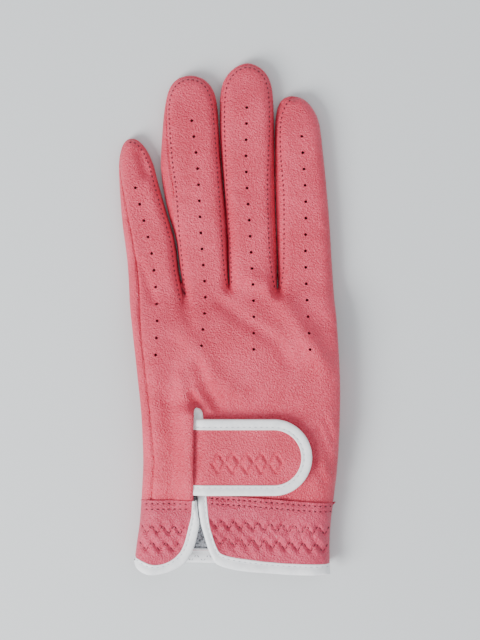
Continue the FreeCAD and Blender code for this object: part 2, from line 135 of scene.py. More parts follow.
# %% Edges of the four stalls, from the fork up the left side, round the tip and down
STALL_EDGE = {
    "little": ruler([(-41.4, 8.2), (-42.5, 24.6), (-44.6, 41), (-45.8, 57.4), (-45.9, 65.6),
                     (-44.9, 71), (-43.2, 74.1), (-40.8, 75.1), (-37.8, 74.1), (-34.3, 70),
                     (-31.7, 64), (-29.9, 57.4), (-26.45, 45), (-22.9, 32.8), (-21.2, 20.5),
                     (-18.4, 6.2)]),
    "ring": ruler([(-17.6, 6.2), (-20.7, 20.5), (-22.4, 32.8), (-25.75, 45), (-28.1, 57.4),
                   (-28.6, 65.6), (-28.0, 77), (-27.1, 87), (-25.3, 95.1), (-21.8, 99.6),
                   (-16.4, 101.1), (-11, 99.6), (-7.2, 95.4), (-5.4, 89), (-4.6, 78),
                   (-4.15, 69.7), (-3.0, 57.4), (-1.8, 45), (-1.0, 32.8), (-0.75, 20.5),
                   (-0.7, 13.2)]),
    "middle": ruler([(-0.2, 13.2), (-0.45, 20.5), (-0.8, 32.8), (-1.6, 45), (-2.8, 57.4),
                     (-3.95, 69.7), (-4.3, 80), (-4.1, 91), (-2.7, 98.6), (1.4, 103.9),
                     (7.2, 106.2), (13, 103.9), (16.6, 98.6), (17.8, 91), (18.2, 80),
                     (18.3, 69.7), (18.6, 49), (19.2, 32.8), (19.5, 20), (19.5, 11.6)]),
    "index": ruler([(20.0, 11.6), (19.75, 20), (19.45, 32.8), (18.85, 49), (18.55, 69.7),
                    (18.6, 80), (19.5, 87.3), (21.8, 91.3), (25.8, 92.6), (30.6, 91.2),
                    (34.6, 86.8), (37, 80.4), (38.3, 69.7), (39.6, 57.4), (41, 41), (42, 24.6),
                    (43, 8.2)]),
}
RIGHT_EDGE = ruler([(43, 8.2), (43.7, 0), (44.7, -16.4), (45.1, -29), (44.8, -45), (44.2, -60),
                    (42.7, -73.6), (41.6, -82), (41.0, -92), (41.2, -104)])
LEFT_EDGE = ruler([(-39.4, -100), (-38.6, -93), (-37.3, -84), (-36.5, -73.6), (-35.7, -57.4),
                   (-36.1, -41), (-37.7, -24.6), (-39.5, -8.2), (-41.4, 8.2)])
silhouette = np.vstack([LEFT_EDGE[:-1]] + [STALL_EDGE[name] for name in FINGERS[:-1]]
                       + [STALL_EDGE["index"][:-1], RIGHT_EDGE])
print("outline points:", len(silhouette), "width", np.ptp(silhouette[:, 0]).round(1),
      "length", np.ptp(silhouette[:, 1]).round(1))

# %% Distances and masks


def distance_to(points, line, closed=False):
    """Distance from each point to a polyline."""
    points = np.asarray(points, float)[:, :2]
    start = np.asarray(line, float)
    end = np.roll(start, -1, axis=0)
    if not closed:
        start, end = start[:-1], end[:-1]
    run = end - start
    size = np.maximum((run ** 2).sum(1), 1e-12)
    nearest = np.full(len(points), np.inf)
    for low in range(0, len(points), 4000):
        part = points[low:low + 4000, None, :] - start[None]
        t = np.clip((part * run).sum(2) / size, 0, 1)
        gap = np.linalg.norm(part - t[:, :, None] * run, axis=2)
        nearest[low:low + 4000] = gap.min(1)
    return nearest


def inside(points, loops):
    """True for points inside an odd number of closed loops."""
    points = np.asarray(points, float)
    odd = np.zeros(len(points), bool)
    for loop in loops:
        loop = np.asarray(loop, float)
        after = np.roll(loop, -1, axis=0)
        for (x1, y1), (x2, y2) in zip(loop, after):
            if y1 == y2:
                continue
            crosses = (points[:, 1] >= min(y1, y2)) & (points[:, 1] < max(y1, y2))
            x = x1 + (points[:, 1] - y1) * (x2 - x1) / (y2 - y1)
            odd ^= crosses & (points[:, 0] < x)
    return odd


def ease(value, low, high):
    """0 below low, 1 above high, smooth between."""
    t = np.clip((np.asarray(value, float) - low) / (high - low), 0, 1)
    return t * t * (3 - 2 * t)


def bump(distance, width):
    """A soft hill, 1 at distance 0."""
    return np.exp(-(np.asarray(distance) / width) ** 2)


print("a soft hill 1 mm wide is", bump(1.0, 1.0).round(2), "high at 1 mm")

# %% [markdown]
# ## How high the leather stands
# An empty glove is a flattened tube. Its top is a height over the outline: it rises steeply
# at the edge, as rolled leather does, and is nearly flat in the middle. Folds and puckers
# are added as soft hills and furrows along short lines.

# %% Landmarks taken from the frame
PALM_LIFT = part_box("palm_panel")[1].z / MM - 0.8
TAB_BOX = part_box("tab_leather")
SEAM_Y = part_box("cuff_palm")[1].y / MM
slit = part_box("slit_loop")
SLIT_X = (slit[0].x + slit[1].x) / 2 / MM
SLIT_TOP = slit[1].y / MM - 1.9
LIP_LIFT = 4.6
print("slit at x", round(SLIT_X, 1), "palm lifted", round(PALM_LIFT, 1), "by the folded thumb")

# %% Heights of the plain tube: its middle, its underside and its outline


def rolled(distance, radius):
    """A quarter round that starts at the edge and is flat from radius inwards."""
    t = np.clip(distance / radius, 0, 1)
    return np.sqrt(1 - (1 - t) ** 2)


def crown_height(x, y):
    """Height of the middle of the back."""
    height = 8.3 + 5.2 * ease(-y, -17, 12) + 0.5 * ease(-y, 10, 50)
    height = height - 2.2 * ease(-y, 62, 74) - 1.6 * ease(-y, 74, 100)
    tips = {"little": 75.1, "ring": 101.1, "middle": 106.2, "index": 92.6}
    owner = np.select([x < -24 + (y - 35) * -0.22, x < -2 - (y - 20) * 0.035, x < 19],
                      [tips["little"], tips["ring"], tips["middle"]], tips["index"])
    height = height - 1.7 * ease(y, owner - 22, owner) * (y > 40)
    return height - 0.7 * ease(-x, 22, 34) * ease(y, 10, 30)


def palm_height(y):
    """Height of the underside of the palm, which lies over the folded thumb."""
    return PALM_LIFT * ease(y, -62, -46) * (1 - ease(y, 0, 15))


def edge_height(x, y):
    """Height of the glove's outline, where back and palm meet."""
    return 0.56 * palm_height(y) + 0.42 * crown_height(x, y)


print("height over the palm:", crown_height(np.zeros(1), np.full(1, -40.0)).round(1))

# %% Folds and puckers: points, height and width of each soft hill or furrow
FOLDS = {
    "knuckle ridge": (ruler([(9.5, 16.5), (15, 14), (21.6, 7.6), (28.6, -3.4), (35, -12.8),
                             (38.4, -17.6)]), 2.0, 3.9),
    "below the ridge": (ruler([(-4.2, 7.4), (9, -2.3), (19.8, -10), (23.5, -17.5)]), -1.2, 2.9),
    "second ridge": (ruler([(-16.5, -8), (-10, -17), (-3, -25.7), (5, -31.5)]), 0.9, 4.0),
    "pucker, broad hollow": (ruler([(-12.8, -18), (-9.4, -27), (-5, -35)]), -1.3, 2.3),
    "pucker, right roll": (ruler([(-14, -28.5), (-10.5, -33), (-7.3, -37.5)]), 0.9, 1.3),
    "pucker, furrow": (ruler([(-15.4, -30), (-13.8, -34), (-12.2, -36.5)]), -1.2, 1.2),
    "pucker, left roll": (ruler([(-20.5, -23), (-18.8, -30), (-17.2, -35)]), 0.8, 2.0),
    "hollow under the fork": (ruler([(-18.2, 5), (-16, -3), (-21, -9)]), -0.8, 2.4),
    "left hollow": (ruler([(-24, -8), (-22.8, -18), (-24.5, -33)]), -0.8, 3.4),
    "little finger root": (ruler([(-37, 24), (-33.5, 15), (-31, 8)]), -0.9, 1.6),
    "little finger root, second": (ruler([(-33, 27), (-30, 19)]), -0.35, 1.4),
    "little finger tip dent": (ruler([(-36.4, 68.5), (-34.2, 60.5)]), -2.1, 2.3),
    "heel, first": (ruler([(36, -44), (39.5, -53), (42, -60)]), -0.9, 1.5),
    "heel, second": (ruler([(38.5, -40), (42, -49)]), -0.8, 1.3),
    "heel, third": (ruler([(34, -58), (38.5, -66)]), -0.8, 1.5),
    "heel roll": (ruler([(37.8, -47), (41.5, -57)]), 0.35, 1.8),
    "left palm": (ruler([(-27, -30), (-22, -44), (-21, -58)]), -0.5, 3.4),
    "left palm roll": (ruler([(-31, -20), (-29, -45)]), 0.4, 3.0),
    "index root": (ruler([(33, 6), (38, -4), (40, -18)]), -0.5, 3.6),
    "ring joint": (ruler([(-22, 52), (-13, 50), (-6, 53)]), -0.35, 1.7),
    "middle joint": (ruler([(-1, 55), (8, 52.5), (16, 55)]), -0.35, 1.7),
    "index joint": (ruler([(23, 48), (31, 46), (38, 49)]), -0.35, 1.7),
    "index crease": (ruler([(36, 38), (40.5, 33)]), -0.3, 1.3),
}


print("folds:", len(FOLDS))

# %% The two surfaces that every piece is laid on


def ripple(x, y, size, seed):
    """Smooth noise with features about size millimetres across."""
    return np.array([noise.noise(Vector((a / size, b / size, seed))) for a, b in zip(x, y)])


def fold_height(points):
    """Folds, puckers and gentle unevenness."""
    x, y = points[:, 0], points[:, 1]
    total = 0.6 * ripple(x, y, 17, 3.1) + 0.24 * ripple(x, y, 6.5, 9.4)
    for line, height, width in FOLDS.values():
        total = total + height * bump(distance_to(points, line), width)
    return total


def roll_radius(y):
    """How far the rolled edge reaches in from the outline: less on the fingers."""
    return 4.4 + 4.2 * ease(-y, -14, 14)


def back_surface(points):
    """Height of the back at each point of the plan."""
    points = np.asarray(points, float)[:, :2]
    x, y = points[:, 0], points[:, 1]
    depth = distance_to(points, silhouette)
    low = edge_height(x, y)
    rise = rolled(depth, roll_radius(y))
    crown = 0.5 * (rolled(depth, 11.0) - 0.6)
    top = low + (crown_height(x, y) + crown - low) * rise
    lip = ease(x, SLIT_X - 10, SLIT_X - 2) * (x < SLIT_X) * ease(y, -79, -72) * ease(-y, 33, 38.6)
    return top + fold_height(points) * ease(depth, 0.3, 4) + LIP_LIFT * lip


def palm_surface(points):
    """Height of the palm side at each point of the plan."""
    points = np.asarray(points, float)[:, :2]
    x, y = points[:, 0], points[:, 1]
    depth = distance_to(points, silhouette)
    low = palm_height(y)
    sag = 0.35 * ripple(x, y, 14, 21.0) * ease(depth, 2, 6) * (low > 0.6 * PALM_LIFT)
    return low + (edge_height(x, y) - low) * (1 - rolled(depth, 3.4 + 3 * ease(-y, -14, 14))) + sag


middle = np.zeros((1, 2))
print("leather at the middle of the hand:", back_surface(middle), palm_surface(middle))

# %% [markdown]
# ## Turning a flat pattern into leather
# A pattern piece is filled with triangles by a constrained Delaunay triangulation. It keeps
# the outline, the small round holes and the cut lines as real edges. Then each point is
# lifted to its height and the sheet gets its thickness.

# %% Small helpers for patterns
HOLE_RADIUS = 0.62
COLLAR_RADIUS = 1.0


def round_hole(x, y, radius, count=10):
    """Points on a circle."""
    turn = np.arange(count) * 2 * math.pi / count
    return np.column_stack([x + radius * np.cos(turn), y + radius * np.sin(turn)])


def thinned(line, step):
    """The line with points closer than step left out, its ends kept."""
    kept = [line[0]]
    for point in line[1:-1]:
        if np.linalg.norm(point - kept[-1]) >= step:
            kept.append(point)
    kept.append(line[-1])
    return np.array(kept)


print("a ventilation hole is", 2 * HOLE_RADIUS, "mm across")

# %% Filling a pattern piece with triangles


def fill_pattern(outline, holes=(), cuts=(), spacing=1.2, rows=(0.3, 0.75, 1.4), extra=()):
    """Triangles over a closed outline with round holes, kept edges along cuts."""
    outline = np.asarray(outline, float)
    loops = [outline] + [np.asarray(hole, float) for hole in holes]
    low, high = outline.min(0), outline.max(0)
    grid_x, grid_y = np.meshgrid(np.arange(low[0], high[0], spacing),
                                 np.arange(low[1], high[1], spacing * 0.866))
    grid_x[1::2] += spacing / 2
    grid = np.column_stack([grid_x.ravel(), grid_y.ravel()])
    grid = grid[inside(grid, loops)]
    grid = grid[distance_to(grid, outline, True) > rows[-1] + 0.45 * spacing]
    after = np.roll(outline, -1, axis=0)
    along = after - np.roll(outline, 1, axis=0)
    along /= np.maximum(np.linalg.norm(along, axis=1), 1e-9)[:, None]
    inward = np.column_stack([-along[:, 1], along[:, 0]])
    area = (outline[:, 0] * after[:, 1] - after[:, 0] * outline[:, 1]).sum()
    inward *= np.sign(area)
    free = [grid]
    for row in rows:
        ring = outline + inward * row
        ring = ring[inside(ring, loops)]
        ring = ring[distance_to(ring, outline, True) > 0.93 * row]
        free.append(ring)
    free += [np.asarray(points, float) for points in extra if len(points)]
    free = np.vstack(free)
    for hole in holes:
        centre = np.mean(hole, axis=0)
        radius = np.linalg.norm(hole[0] - centre)
        free = free[np.linalg.norm(free - centre, axis=1) > radius + 0.3]
    for cut in cuts:
        free = free[distance_to(free, cut) > 0.3]
    fixed, edges = [], []
    count = 0
    for loop in loops:
        fixed.append(loop)
        edges += [(count + i, count + (i + 1) % len(loop)) for i in range(len(loop))]
        count += len(loop)
    for cut in cuts:
        fixed.append(cut)
        edges += [(count + i, count + i + 1) for i in range(len(cut) - 1)]
        count += len(cut)
    everything = np.vstack(fixed + [free])
    result = delaunay_2d_cdt([Vector(p) for p in everything.tolist()], edges, [], 0, 1e-4)
    points = np.array([tuple(p) for p in result[0]])
    faces = np.array([face for face in result[2] if len(face) == 3])
    faces = faces[inside(points[faces].mean(1), loops)]
    a, b, c = (points[faces[:, i]] for i in range(3))
    turn = np.cross(b - a, c - a)
    faces = faces[np.abs(turn) > 1e-6]
    turn = turn[np.abs(turn) > 1e-6]
    faces[turn < 0] = faces[turn < 0][:, ::-1]
    return points, faces


square = fill_pattern([(0, 0), (9, 0), (9, 9), (0, 9)])
print("a 9 mm square is filled with", len(square[1]), "triangles")

# %% Sheets with thickness


def smooth_normals(points, faces):
    """Area-weighted normals of a triangle or quad mesh."""
    corners = points[faces]
    if faces.shape[1] == 3:
        flat = np.cross(corners[:, 1] - corners[:, 0], corners[:, 2] - corners[:, 0])
    else:
        flat = np.cross(corners[:, 2] - corners[:, 0], corners[:, 3] - corners[:, 1])
    total = np.zeros_like(points)
    for i in range(faces.shape[1]):
        np.add.at(total, faces[:, i], flat)
    return total / np.maximum(np.linalg.norm(total, axis=1), 1e-12)[:, None]


def new_piece(name, points, faces, material, loop_normals=None):
    """A mesh object from millimetre points."""
    mesh = bpy.data.meshes.new(name)
    mesh.from_pydata((np.asarray(points) * MM).tolist(), [], [list(map(int, f)) for f in faces])
    mesh.update()
    mesh.shade_smooth()
    if loop_normals is not None:
        mesh.normals_split_custom_set(loop_normals)
    mesh.materials.append(material)
    piece = bpy.data.objects.new(name, mesh)
    bpy.context.scene.collection.objects.link(piece)
    return piece


def leather(name, points, faces, normals, material, thickness=0.7):
    """A sheet with an outer face, an inner face and cut edges, from a part of a larger sheet."""
    used = np.unique(faces)
    where = np.full(len(points), -1)
    where[used] = np.arange(len(used))
    faces = where[faces]
    outer = points[used]
    shade = normals[used]
    size = len(outer)
    everything = np.vstack([outer, outer - shade * thickness])
    seen = {}
    for face in faces:
        for a, b in zip(face, np.roll(face, -1)):
            seen[(a, b)] = True
    rim = [(a, b) for a, b in seen if (b, a) not in seen]
    all_faces = [list(face) for face in faces]
    all_faces += [[i + size for i in face[::-1]] for face in faces]
    all_faces += [[b, a, a + size, b + size] for a, b in rim]
    loops = [shade[i] for face in faces for i in face]
    loops += [-shade[i] for face in faces for i in face[::-1]]
    for a, b in rim:
        flat = np.cross(everything[a] - everything[b], everything[a + size] - everything[b])
        flat = flat / max(np.linalg.norm(flat), 1e-12)
        loops += [flat] * 4
    return new_piece(name, everything, all_faces, material, [tuple(n) for n in loops])


def strip_faces(rows, columns):
    """Quads of a grid of points, rows by columns."""
    index = np.arange(rows * columns).reshape(rows, columns)
    return np.column_stack([index[:-1, :-1].ravel(), index[:-1, 1:].ravel(),
                            index[1:, 1:].ravel(), index[1:, :-1].ravel()])


print("a strip of 3 rows and 4 columns has", len(strip_faces(3, 4)), "faces")

# %% [markdown]
# ## Finishes
# Shader maths is written as ordinary expressions: a small class wraps a node's output and
# each operator adds the Math node that does it.

# %% Values that vary over a surface


class Value:
    """A number that varies over the surface."""

    def __init__(self, shop, socket):
        self.shop = shop
        self.socket = socket

    def _math(self, operation, other, flip=False):
        pair = (other, self) if flip else (self, other)
        return self.shop.node("ShaderNodeMath", {"operation": operation}, pair)

    def __add__(self, other):
        return self._math("ADD", other)

    __radd__ = __add__

    def __sub__(self, other):
        return self._math("SUBTRACT", other)

    def __rsub__(self, other):
        return self._math("SUBTRACT", other, flip=True)

    def __mul__(self, other):
        return self._math("MULTIPLY", other)

    __rmul__ = __mul__


print("values can be combined with:", sorted(name for name in vars(Value) if "__r" in name))

# %% One material's node tree


class Shop:
    """One material's node tree."""

    def __init__(self, name):
        self.material = bpy.data.materials.new(name)
        self.material.use_nodes = True
        self.tree = self.material.node_tree
        self.shader = self.tree.nodes["Principled BSDF"]

    def put(self, value, socket):
        """Give a socket a link or a plain value."""
        if isinstance(value, Value):
            self.tree.links.new(value.socket, socket)
        else:
            socket.default_value = value

    def node(self, kind, settings=None, values=(), output=0):
        """Add a node: its settings first, then the values or links of its sockets."""
        node = self.tree.nodes.new(kind)
        for key, setting in (settings or {}).items():
            setattr(node, key, setting)
        pairs = values.items() if isinstance(values, dict) else enumerate(values)
        for key, value in pairs:
            self.put(value, node.inputs[key])
        return Value(self, node.outputs[output])

    def place(self):
        """Where a point lies on the glove."""
        return self.node("ShaderNodeTexCoord", output="Object")

    def noise(self, size, detail=2.0, roughness=0.5):
        """Noise with features about size millimetres across."""
        return self.node("ShaderNodeTexNoise", {}, {
            "Vector": self.place(), "Scale": 1 / (size * MM), "Detail": detail,
            "Roughness": roughness})

    def cells(self, size):
        """Distance to the nearest of many points, about size millimetres apart."""
        return self.node("ShaderNodeTexVoronoi", {"feature": "F1"}, {
            "Vector": self.place(), "Scale": 1 / (size * MM)})

    def mix(self, share, first, second):
        """A colour between two colours."""
        node = self.tree.nodes.new("ShaderNodeMix")
        node.data_type = "RGBA"
        self.put(share, node.inputs[0])
        for value, socket in ((first, node.inputs[6]), (second, node.inputs[7])):
            self.put(value if isinstance(value, Value) else (*value, 1.0), socket)
        return Value(self, node.outputs[2])

    def band(self, value, low, high):
        """0 at low, 1 at high, limited outside."""
        return self.node("ShaderNodeMapRange", {"clamp": True, "interpolation_type": "SMOOTHSTEP"},
                         {"Value": value, "From Min": low, "From Max": high})

    def relief(self, height, depth, strength=1.0):
        """A bump from a height that runs from 0 to 1, depth millimetres deep."""
        bump_node = self.node("ShaderNodeBump", {}, {
            "Strength": strength, "Distance": depth * MM, "Height": height})
        self.put(bump_node, self.shader.inputs["Normal"])

    def set(self, **values):
        """Set the main shader's sockets; underscores stand for spaces."""
        for key, value in values.items():
            if isinstance(value, tuple) and len(value) == 3:
                value = (*value, 1.0)
            self.put(value, self.shader.inputs[key.replace("_", " ")])


def linear(red, green, blue):
    """A linear colour from the 0 to 255 numbers of a colour picker."""
    return tuple(((c / 255 + 0.055) / 1.055) ** 2.4 if c > 10 else c / 255 / 12.92
                 for c in (red, green, blue))


print("middle grey as light:", round(linear(128, 128, 128)[0], 3))

# %% How leather, binding, cloth and thread are made


def make_leather(name, light, dark, grain=0.16):
    """Soft dyed sheepskin: fine pebbled grain, a little mottling, a soft satin gloss."""
    shop = Shop(name)
    mottle = shop.band(shop.noise(16, 3.0), 0.3, 0.7)
    fine = shop.band(shop.noise(0.8, 3.0, 0.6), 0.3, 0.75)
    pebble = shop.cells(0.66)
    colour = shop.mix(mottle * 0.4 + fine * 0.6 - pebble * 0.2, dark, light)
    shop.set(Base_Color=colour, Roughness=0.34 + fine * 0.18 - mottle * 0.05,
             Specular_IOR_Level=0.55, Sheen_Weight=0.03, Sheen_Roughness=0.45)
    shop.relief(pebble * 0.55 + fine * 0.3 + shop.noise(0.4, 1.0) * 0.25, grain)
    return shop.material


def make_binding():
    """Thin white synthetic leather tape: smooth, slightly glossy, faint creases."""
    shop = Shop("white_binding_tape")
    crease = shop.band(shop.noise(3.0, 3.0, 0.6), 0.25, 0.75)
    colour = shop.mix(crease, linear(238, 239, 242), linear(252, 252, 253))
    shop.set(Base_Color=colour, Roughness=0.36 + crease * 0.1, Specular_IOR_Level=0.5)
    shop.relief(crease * 0.6 + shop.noise(0.8, 2.0) * 0.4, 0.09)
    return shop.material


def make_thread(name, light, dark):
    """Twisted sewing thread: a fine diagonal ply."""
    shop = Shop(name)
    ply = shop.noise(0.35, 1.0)
    shop.set(Base_Color=shop.mix(ply, dark, light), Roughness=0.6)
    shop.relief(ply, 0.05)
    return shop.material


def make_mesh_lining():
    """Knitted net: a grey ground with a regular pattern of darker eyelets."""
    shop = Shop("grey_net")
    eyelet = shop.band(shop.cells(1.05), 0.2, 0.55)
    colour = shop.mix(eyelet, linear(120, 122, 128), linear(196, 199, 205))
    shop.set(Base_Color=colour, Roughness=0.75, Sheen_Weight=0.2)
    shop.relief(eyelet, 0.25)
    return shop.material


def make_pile(name, light, dark, size):
    """Hook or loop pile: a dense felt of tiny tufts."""
    shop = Shop(name)
    tuft = shop.cells(size)
    shop.set(Base_Color=shop.mix(tuft, dark, light), Roughness=0.85, Sheen_Weight=0.3)
    shop.relief(tuft * 0.7 + shop.noise(size * 0.6) * 0.3, 0.35)
    return shop.material


print("finish makers ready")

# %% The finishes of this glove
ROSE = make_leather("rose_leather", linear(242, 80, 108), linear(204, 47, 73), 0.58)
CUFF_ROSE = make_leather("rose_cuff_leather", linear(224, 74, 106), linear(184, 42, 72), 0.5)
SUEDE = make_leather("rose_palm_leather", linear(234, 78, 104), linear(200, 48, 72), 0.26)
WHITE = make_binding()
# Painted shade in both threads: the topstitching thread is painted near-black crimson so its
# stitches read as shaded dots, and the white thread is greyed over its real white the same way.
DARK_THREAD = make_thread("shadowed_rose_thread", linear(112, 24, 42), linear(66, 10, 22))
WHITE_THREAD = make_thread("white_thread", linear(216, 219, 224), linear(176, 180, 188))
NET = make_mesh_lining()
ELASTIC = make_pile("elastic_web", linear(232, 233, 236), linear(196, 198, 204), 0.6)
PILE = make_pile("closure_pile", linear(228, 228, 232), linear(186, 188, 196), 0.5)
print("finishes:", len(bpy.data.materials))

# %% [markdown]
# ## Stitch lines and the back panel
# On the real glove the back of each stall is topstitched onto the side strips two
# millimetres from its cut edge. So the stitch line comes first, and the cut edge is the
# stitch line moved outwards.

# %% Stitch lines on the back, up the left side of a stall and down the right
MARGIN = 1.0
LITTLE_SEAM = ruler([(-37.5, -86.5), (-36.1, -83.2), (-33.1, -78.3), (-31.9, -73.4),
                     (-30.9, -62), (-30.7, -56), (-32.1, -40.6), (-33.3, -28.7), (-34.8, -16.8),
                     (-36.3, -2.9), (-37.2, 14), (-38.5, 25.4), (-40, 34), (-42.2, 45.1),
                     (-44.6, 57.4), (-45.2, 62)])
STITCH = {
    "little": offset_line(STALL_EDGE["little"], -1.7)[STALL_EDGE["little"][:, 1].argmax() - 3:-2],
    "ring": ruler([(-18.3, 9.6), (-19.3, 20.5), (-20.9, 36.9), (-22.1, 53.3), (-23.7, 65.6),
                   (-24.7, 77.9), (-25, 88), (-23.5, 94.4), (-20.6, 97.7), (-16.4, 98.9),
                   (-12.3, 97.8), (-9.2, 94.3), (-7.4, 88), (-6.5, 77.9), (-5.8, 69.7),
                   (-4.4, 49.2), (-3.4, 32.8), (-2.5, 20.5), (-1.4, 13.6)]),
    "middle": ruler([(0.7, 14.6), (0.4, 24), (0, 32.8), (-1, 49.2), (-1.7, 65.6),
                     (-2.2, 77.9), (-2.1, 90), (-0.8, 97.3), (2.6, 102), (7.3, 103.9),
                     (12, 102.1), (14.9, 97.7), (16, 90), (16.1, 78), (15.7, 68), (15.3, 57.4),
                     (15.6, 41), (16.4, 24.6), (18.3, 12.8)]),
    "index": ruler([(20.5, 12.4), (21.3, 15.4), (22.1, 24.6), (22.1, 49.2), (21.7, 57),
                    (20.9, 66.4), (20.6, 76), (21.1, 82.5), (22.7, 88), (25.2, 90.9)]),
}


print("stitch lines:", sorted(STITCH))

# %% Cut edge of the back panel


def stall_panel_edge(name):
    """The cut edge of the back panel round one stall, from its left fork to its right."""
    if name == "index":
        fold = STALL_EDGE["index"]
        tip = fold[:, 1].argmax()
        return np.vstack([offset_line(STITCH[name], MARGIN)[:-1], fold[tip + 2:-1]])
    if name == "little":
        fold = offset_line(STALL_EDGE["little"], -0.6)
        return np.vstack([LITTLE_SEAM[LITTLE_SEAM[:, 1] > 8.2],
                          fold[np.argmax(fold[:, 1] > 64.5):-1]])
    return offset_line(STITCH[name], MARGIN)


print("the ring stall's edge has", len(stall_panel_edge("ring")), "points")

# %% Outline of the whole back panel
CUFF_LINE = SEAM_Y + 0.3
LEFT_SEAM = ruler([(-36.7, -73.8), (-30, -73.5), (-15.2, -73.2)])
RIGHT_SEAM = ruler([(-13.2, -71), (-9, -71.1), (17, -73), (30, -74.1), (43.1, -75)])
hand_seam = LITTLE_SEAM[(LITTLE_SEAM[:, 1] > CUFF_LINE - 1) & (LITTLE_SEAM[:, 1] < 8.2)]
hand_fold = RIGHT_EDGE[RIGHT_EDGE[:, 1] > CUFF_LINE - 2.6]
slit_edge = np.array([(SLIT_X + 0.7, -72), (SLIT_X + 0.6, -60), (SLIT_X + 0.5, -45),
                      (SLIT_X + 0.3, SLIT_TOP - 0.8), (SLIT_X, SLIT_TOP),
                      (SLIT_X - 0.3, SLIT_TOP - 0.8), (SLIT_X - 0.5, -45), (SLIT_X - 0.6, -60),
                      (SLIT_X - 0.6, -74.2)])
slit_edge = np.vstack([ruler(slit_edge[:5], 1.2)[:-1], ruler(slit_edge[4:], 1.2)])
FORKS = {("little", "ring"): (-19.5, 6.4), ("ring", "middle"): (-0.4, 12.6),
         ("middle", "index"): (19.7, 11.3)}
panel_outline = [hand_seam]
for name, following in zip(FINGERS, FINGERS[1:] + ("",)):
    panel_outline.append(stall_panel_edge(name))
    if following:
        panel_outline.append(np.array([FORKS[name, following]]))
right_hem_line = thinned(RIGHT_SEAM[::-1], 1.2)[1:-1] - (0, 1.0)
left_hem_line = thinned(LEFT_SEAM[::-1], 1.2)[1:-5] - (0, 1.0)
panel_outline += [hand_fold, right_hem_line, slit_edge, left_hem_line]
panel_outline = np.vstack(panel_outline)
print("back panel outline:", len(panel_outline), "points")

# %% Rows of ventilation holes: a line through a few points, and how many holes
HOLE_ROWS = {
    "little": (((-38.8, 54.2), (-35.1, 39.8), (-32, 26.4), (-30.5, 13), (-29.7, -0.7),
                (-30.2, -14.2)), 11),
    "ring": (((-15.7, 81.7), (-13.3, 62.2), (-11.9, 34.9), (-10.1, 10), (-10.8, -1.5),
              (-11.5, -10.4)), 15),
    "middle": (((6.9, 87.1), (6.6, 63), (8.2, 35.9), (9.6, 9.1), (9.7, -11.9)), 16),
    "index": (((29.4, 75.3), (31, 49.8), (31, 22.3), (32.5, -12)), 14),
}


def resample(line, count):
    """The line at evenly spaced places."""
    size = np.concatenate([[0], np.cumsum(np.linalg.norm(np.diff(line, axis=0), axis=1))])
    places = np.linspace(0, size[-1], count)
    return np.column_stack([np.interp(places, size, line[:, i]) for i in range(2)])


hole_centres = np.vstack([resample(ruler(points), count) for points, count in HOLE_ROWS.values()])
holes = [round_hole(x, y, HOLE_RADIUS) for x, y in hole_centres]
hole_collars = [round_hole(x, y, COLLAR_RADIUS) for x, y in hole_centres]


def cut_across(name, y):
    """A straight cut across a stall at y, with points about a millimetre apart."""
    edge = stall_panel_edge(name)
    tip = edge[:, 1].argmax()
    left = np.interp(y, edge[:tip, 1], edge[:tip, 0])
    right = np.interp(-y, -edge[tip:, 1], edge[tip:, 0])
    count = round((right - left) / 1.1)
    return np.column_stack([np.linspace(left, right, count), np.full(count, y)])


cuts = [cut_across(name, y[name]) for name in FINGERS for y in (ROOT_START, TIP_START)]
trimmed_cuts = [cut[1:-1] for cut in cuts]
plan, plan_faces = fill_pattern(panel_outline, holes, trimmed_cuts, spacing=1.25,
                                extra=hole_collars)
print("back panel:", len(plan), "points", len(plan_faces), "triangles")

# %% Furrows, curled edges, and which body a face belongs to


def furrow(points):
    """Depth of the groove that the stitching pulls into the leather."""
    total = np.zeros(len(points))
    for line in STITCH.values():
        total -= 0.42 * bump(distance_to(points, line), 0.6)
    return total


def edge_curl(points, outline, depth=0.5, width=0.8):
    """A cut edge that curls down slightly."""
    return -depth * (1 - ease(distance_to(points, outline, True), 0, width))


def grown_stall(name):
    """The stall's outline moved out slightly and lengthened below its root cut."""
    edge = offset_line(STALL_EDGE[name], 0.12)
    return np.vstack([edge[0] - (0, 4), edge, edge[-1] - (0, 4)])


def segment_of(centres):
    """For each face centre: 0 for the hand, else 2 * finger + 1 for a root, + 2 for a tip."""
    y = centres[:, 1]
    owner = np.zeros(len(centres), int)
    for number, name in enumerate(FINGERS):
        mine = inside(centres[:, :2], [grown_stall(name)])
        owner[mine & (y > ROOT_START[name])] = 2 * number + 1
        owner[mine & (y > TIP_START[name])] = 2 * number + 2
    return owner


print("deepest furrow:", furrow(plan).min().round(2), "mm")

# %% The back, cut into its pieces
back_points = np.column_stack([plan, back_surface(plan) + furrow(plan)
                               + edge_curl(plan, panel_outline)])
back_normals = smooth_normals(back_points, plan_faces)
owner = segment_of(plan[plan_faces].mean(1))
hand_back = leather("hand_back_leather", back_points, plan_faces[owner == 0], back_normals, ROSE)
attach(hand_back, "hand")
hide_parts("back_panel")
for name, segment, label in STALL_PARTS:
    part = leather(f"{name}_{segment}_back_leather", back_points,
                   plan_faces[owner == label], back_normals, ROSE)
    bend(part, name, segment)
    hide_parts(f"{name}_{segment}_back")
print("back pieces:", 1 + 2 * len(FINGERS))

# %% [markdown]
# ## Side strips
# Narrow strips of leather join the back of each stall to its palm. One long strip runs
# round the whole outline here: its upper edge is tucked under the back, it rolls over the
# outline, and its lower edge is tucked under the palm. It is cut where the bodies change.

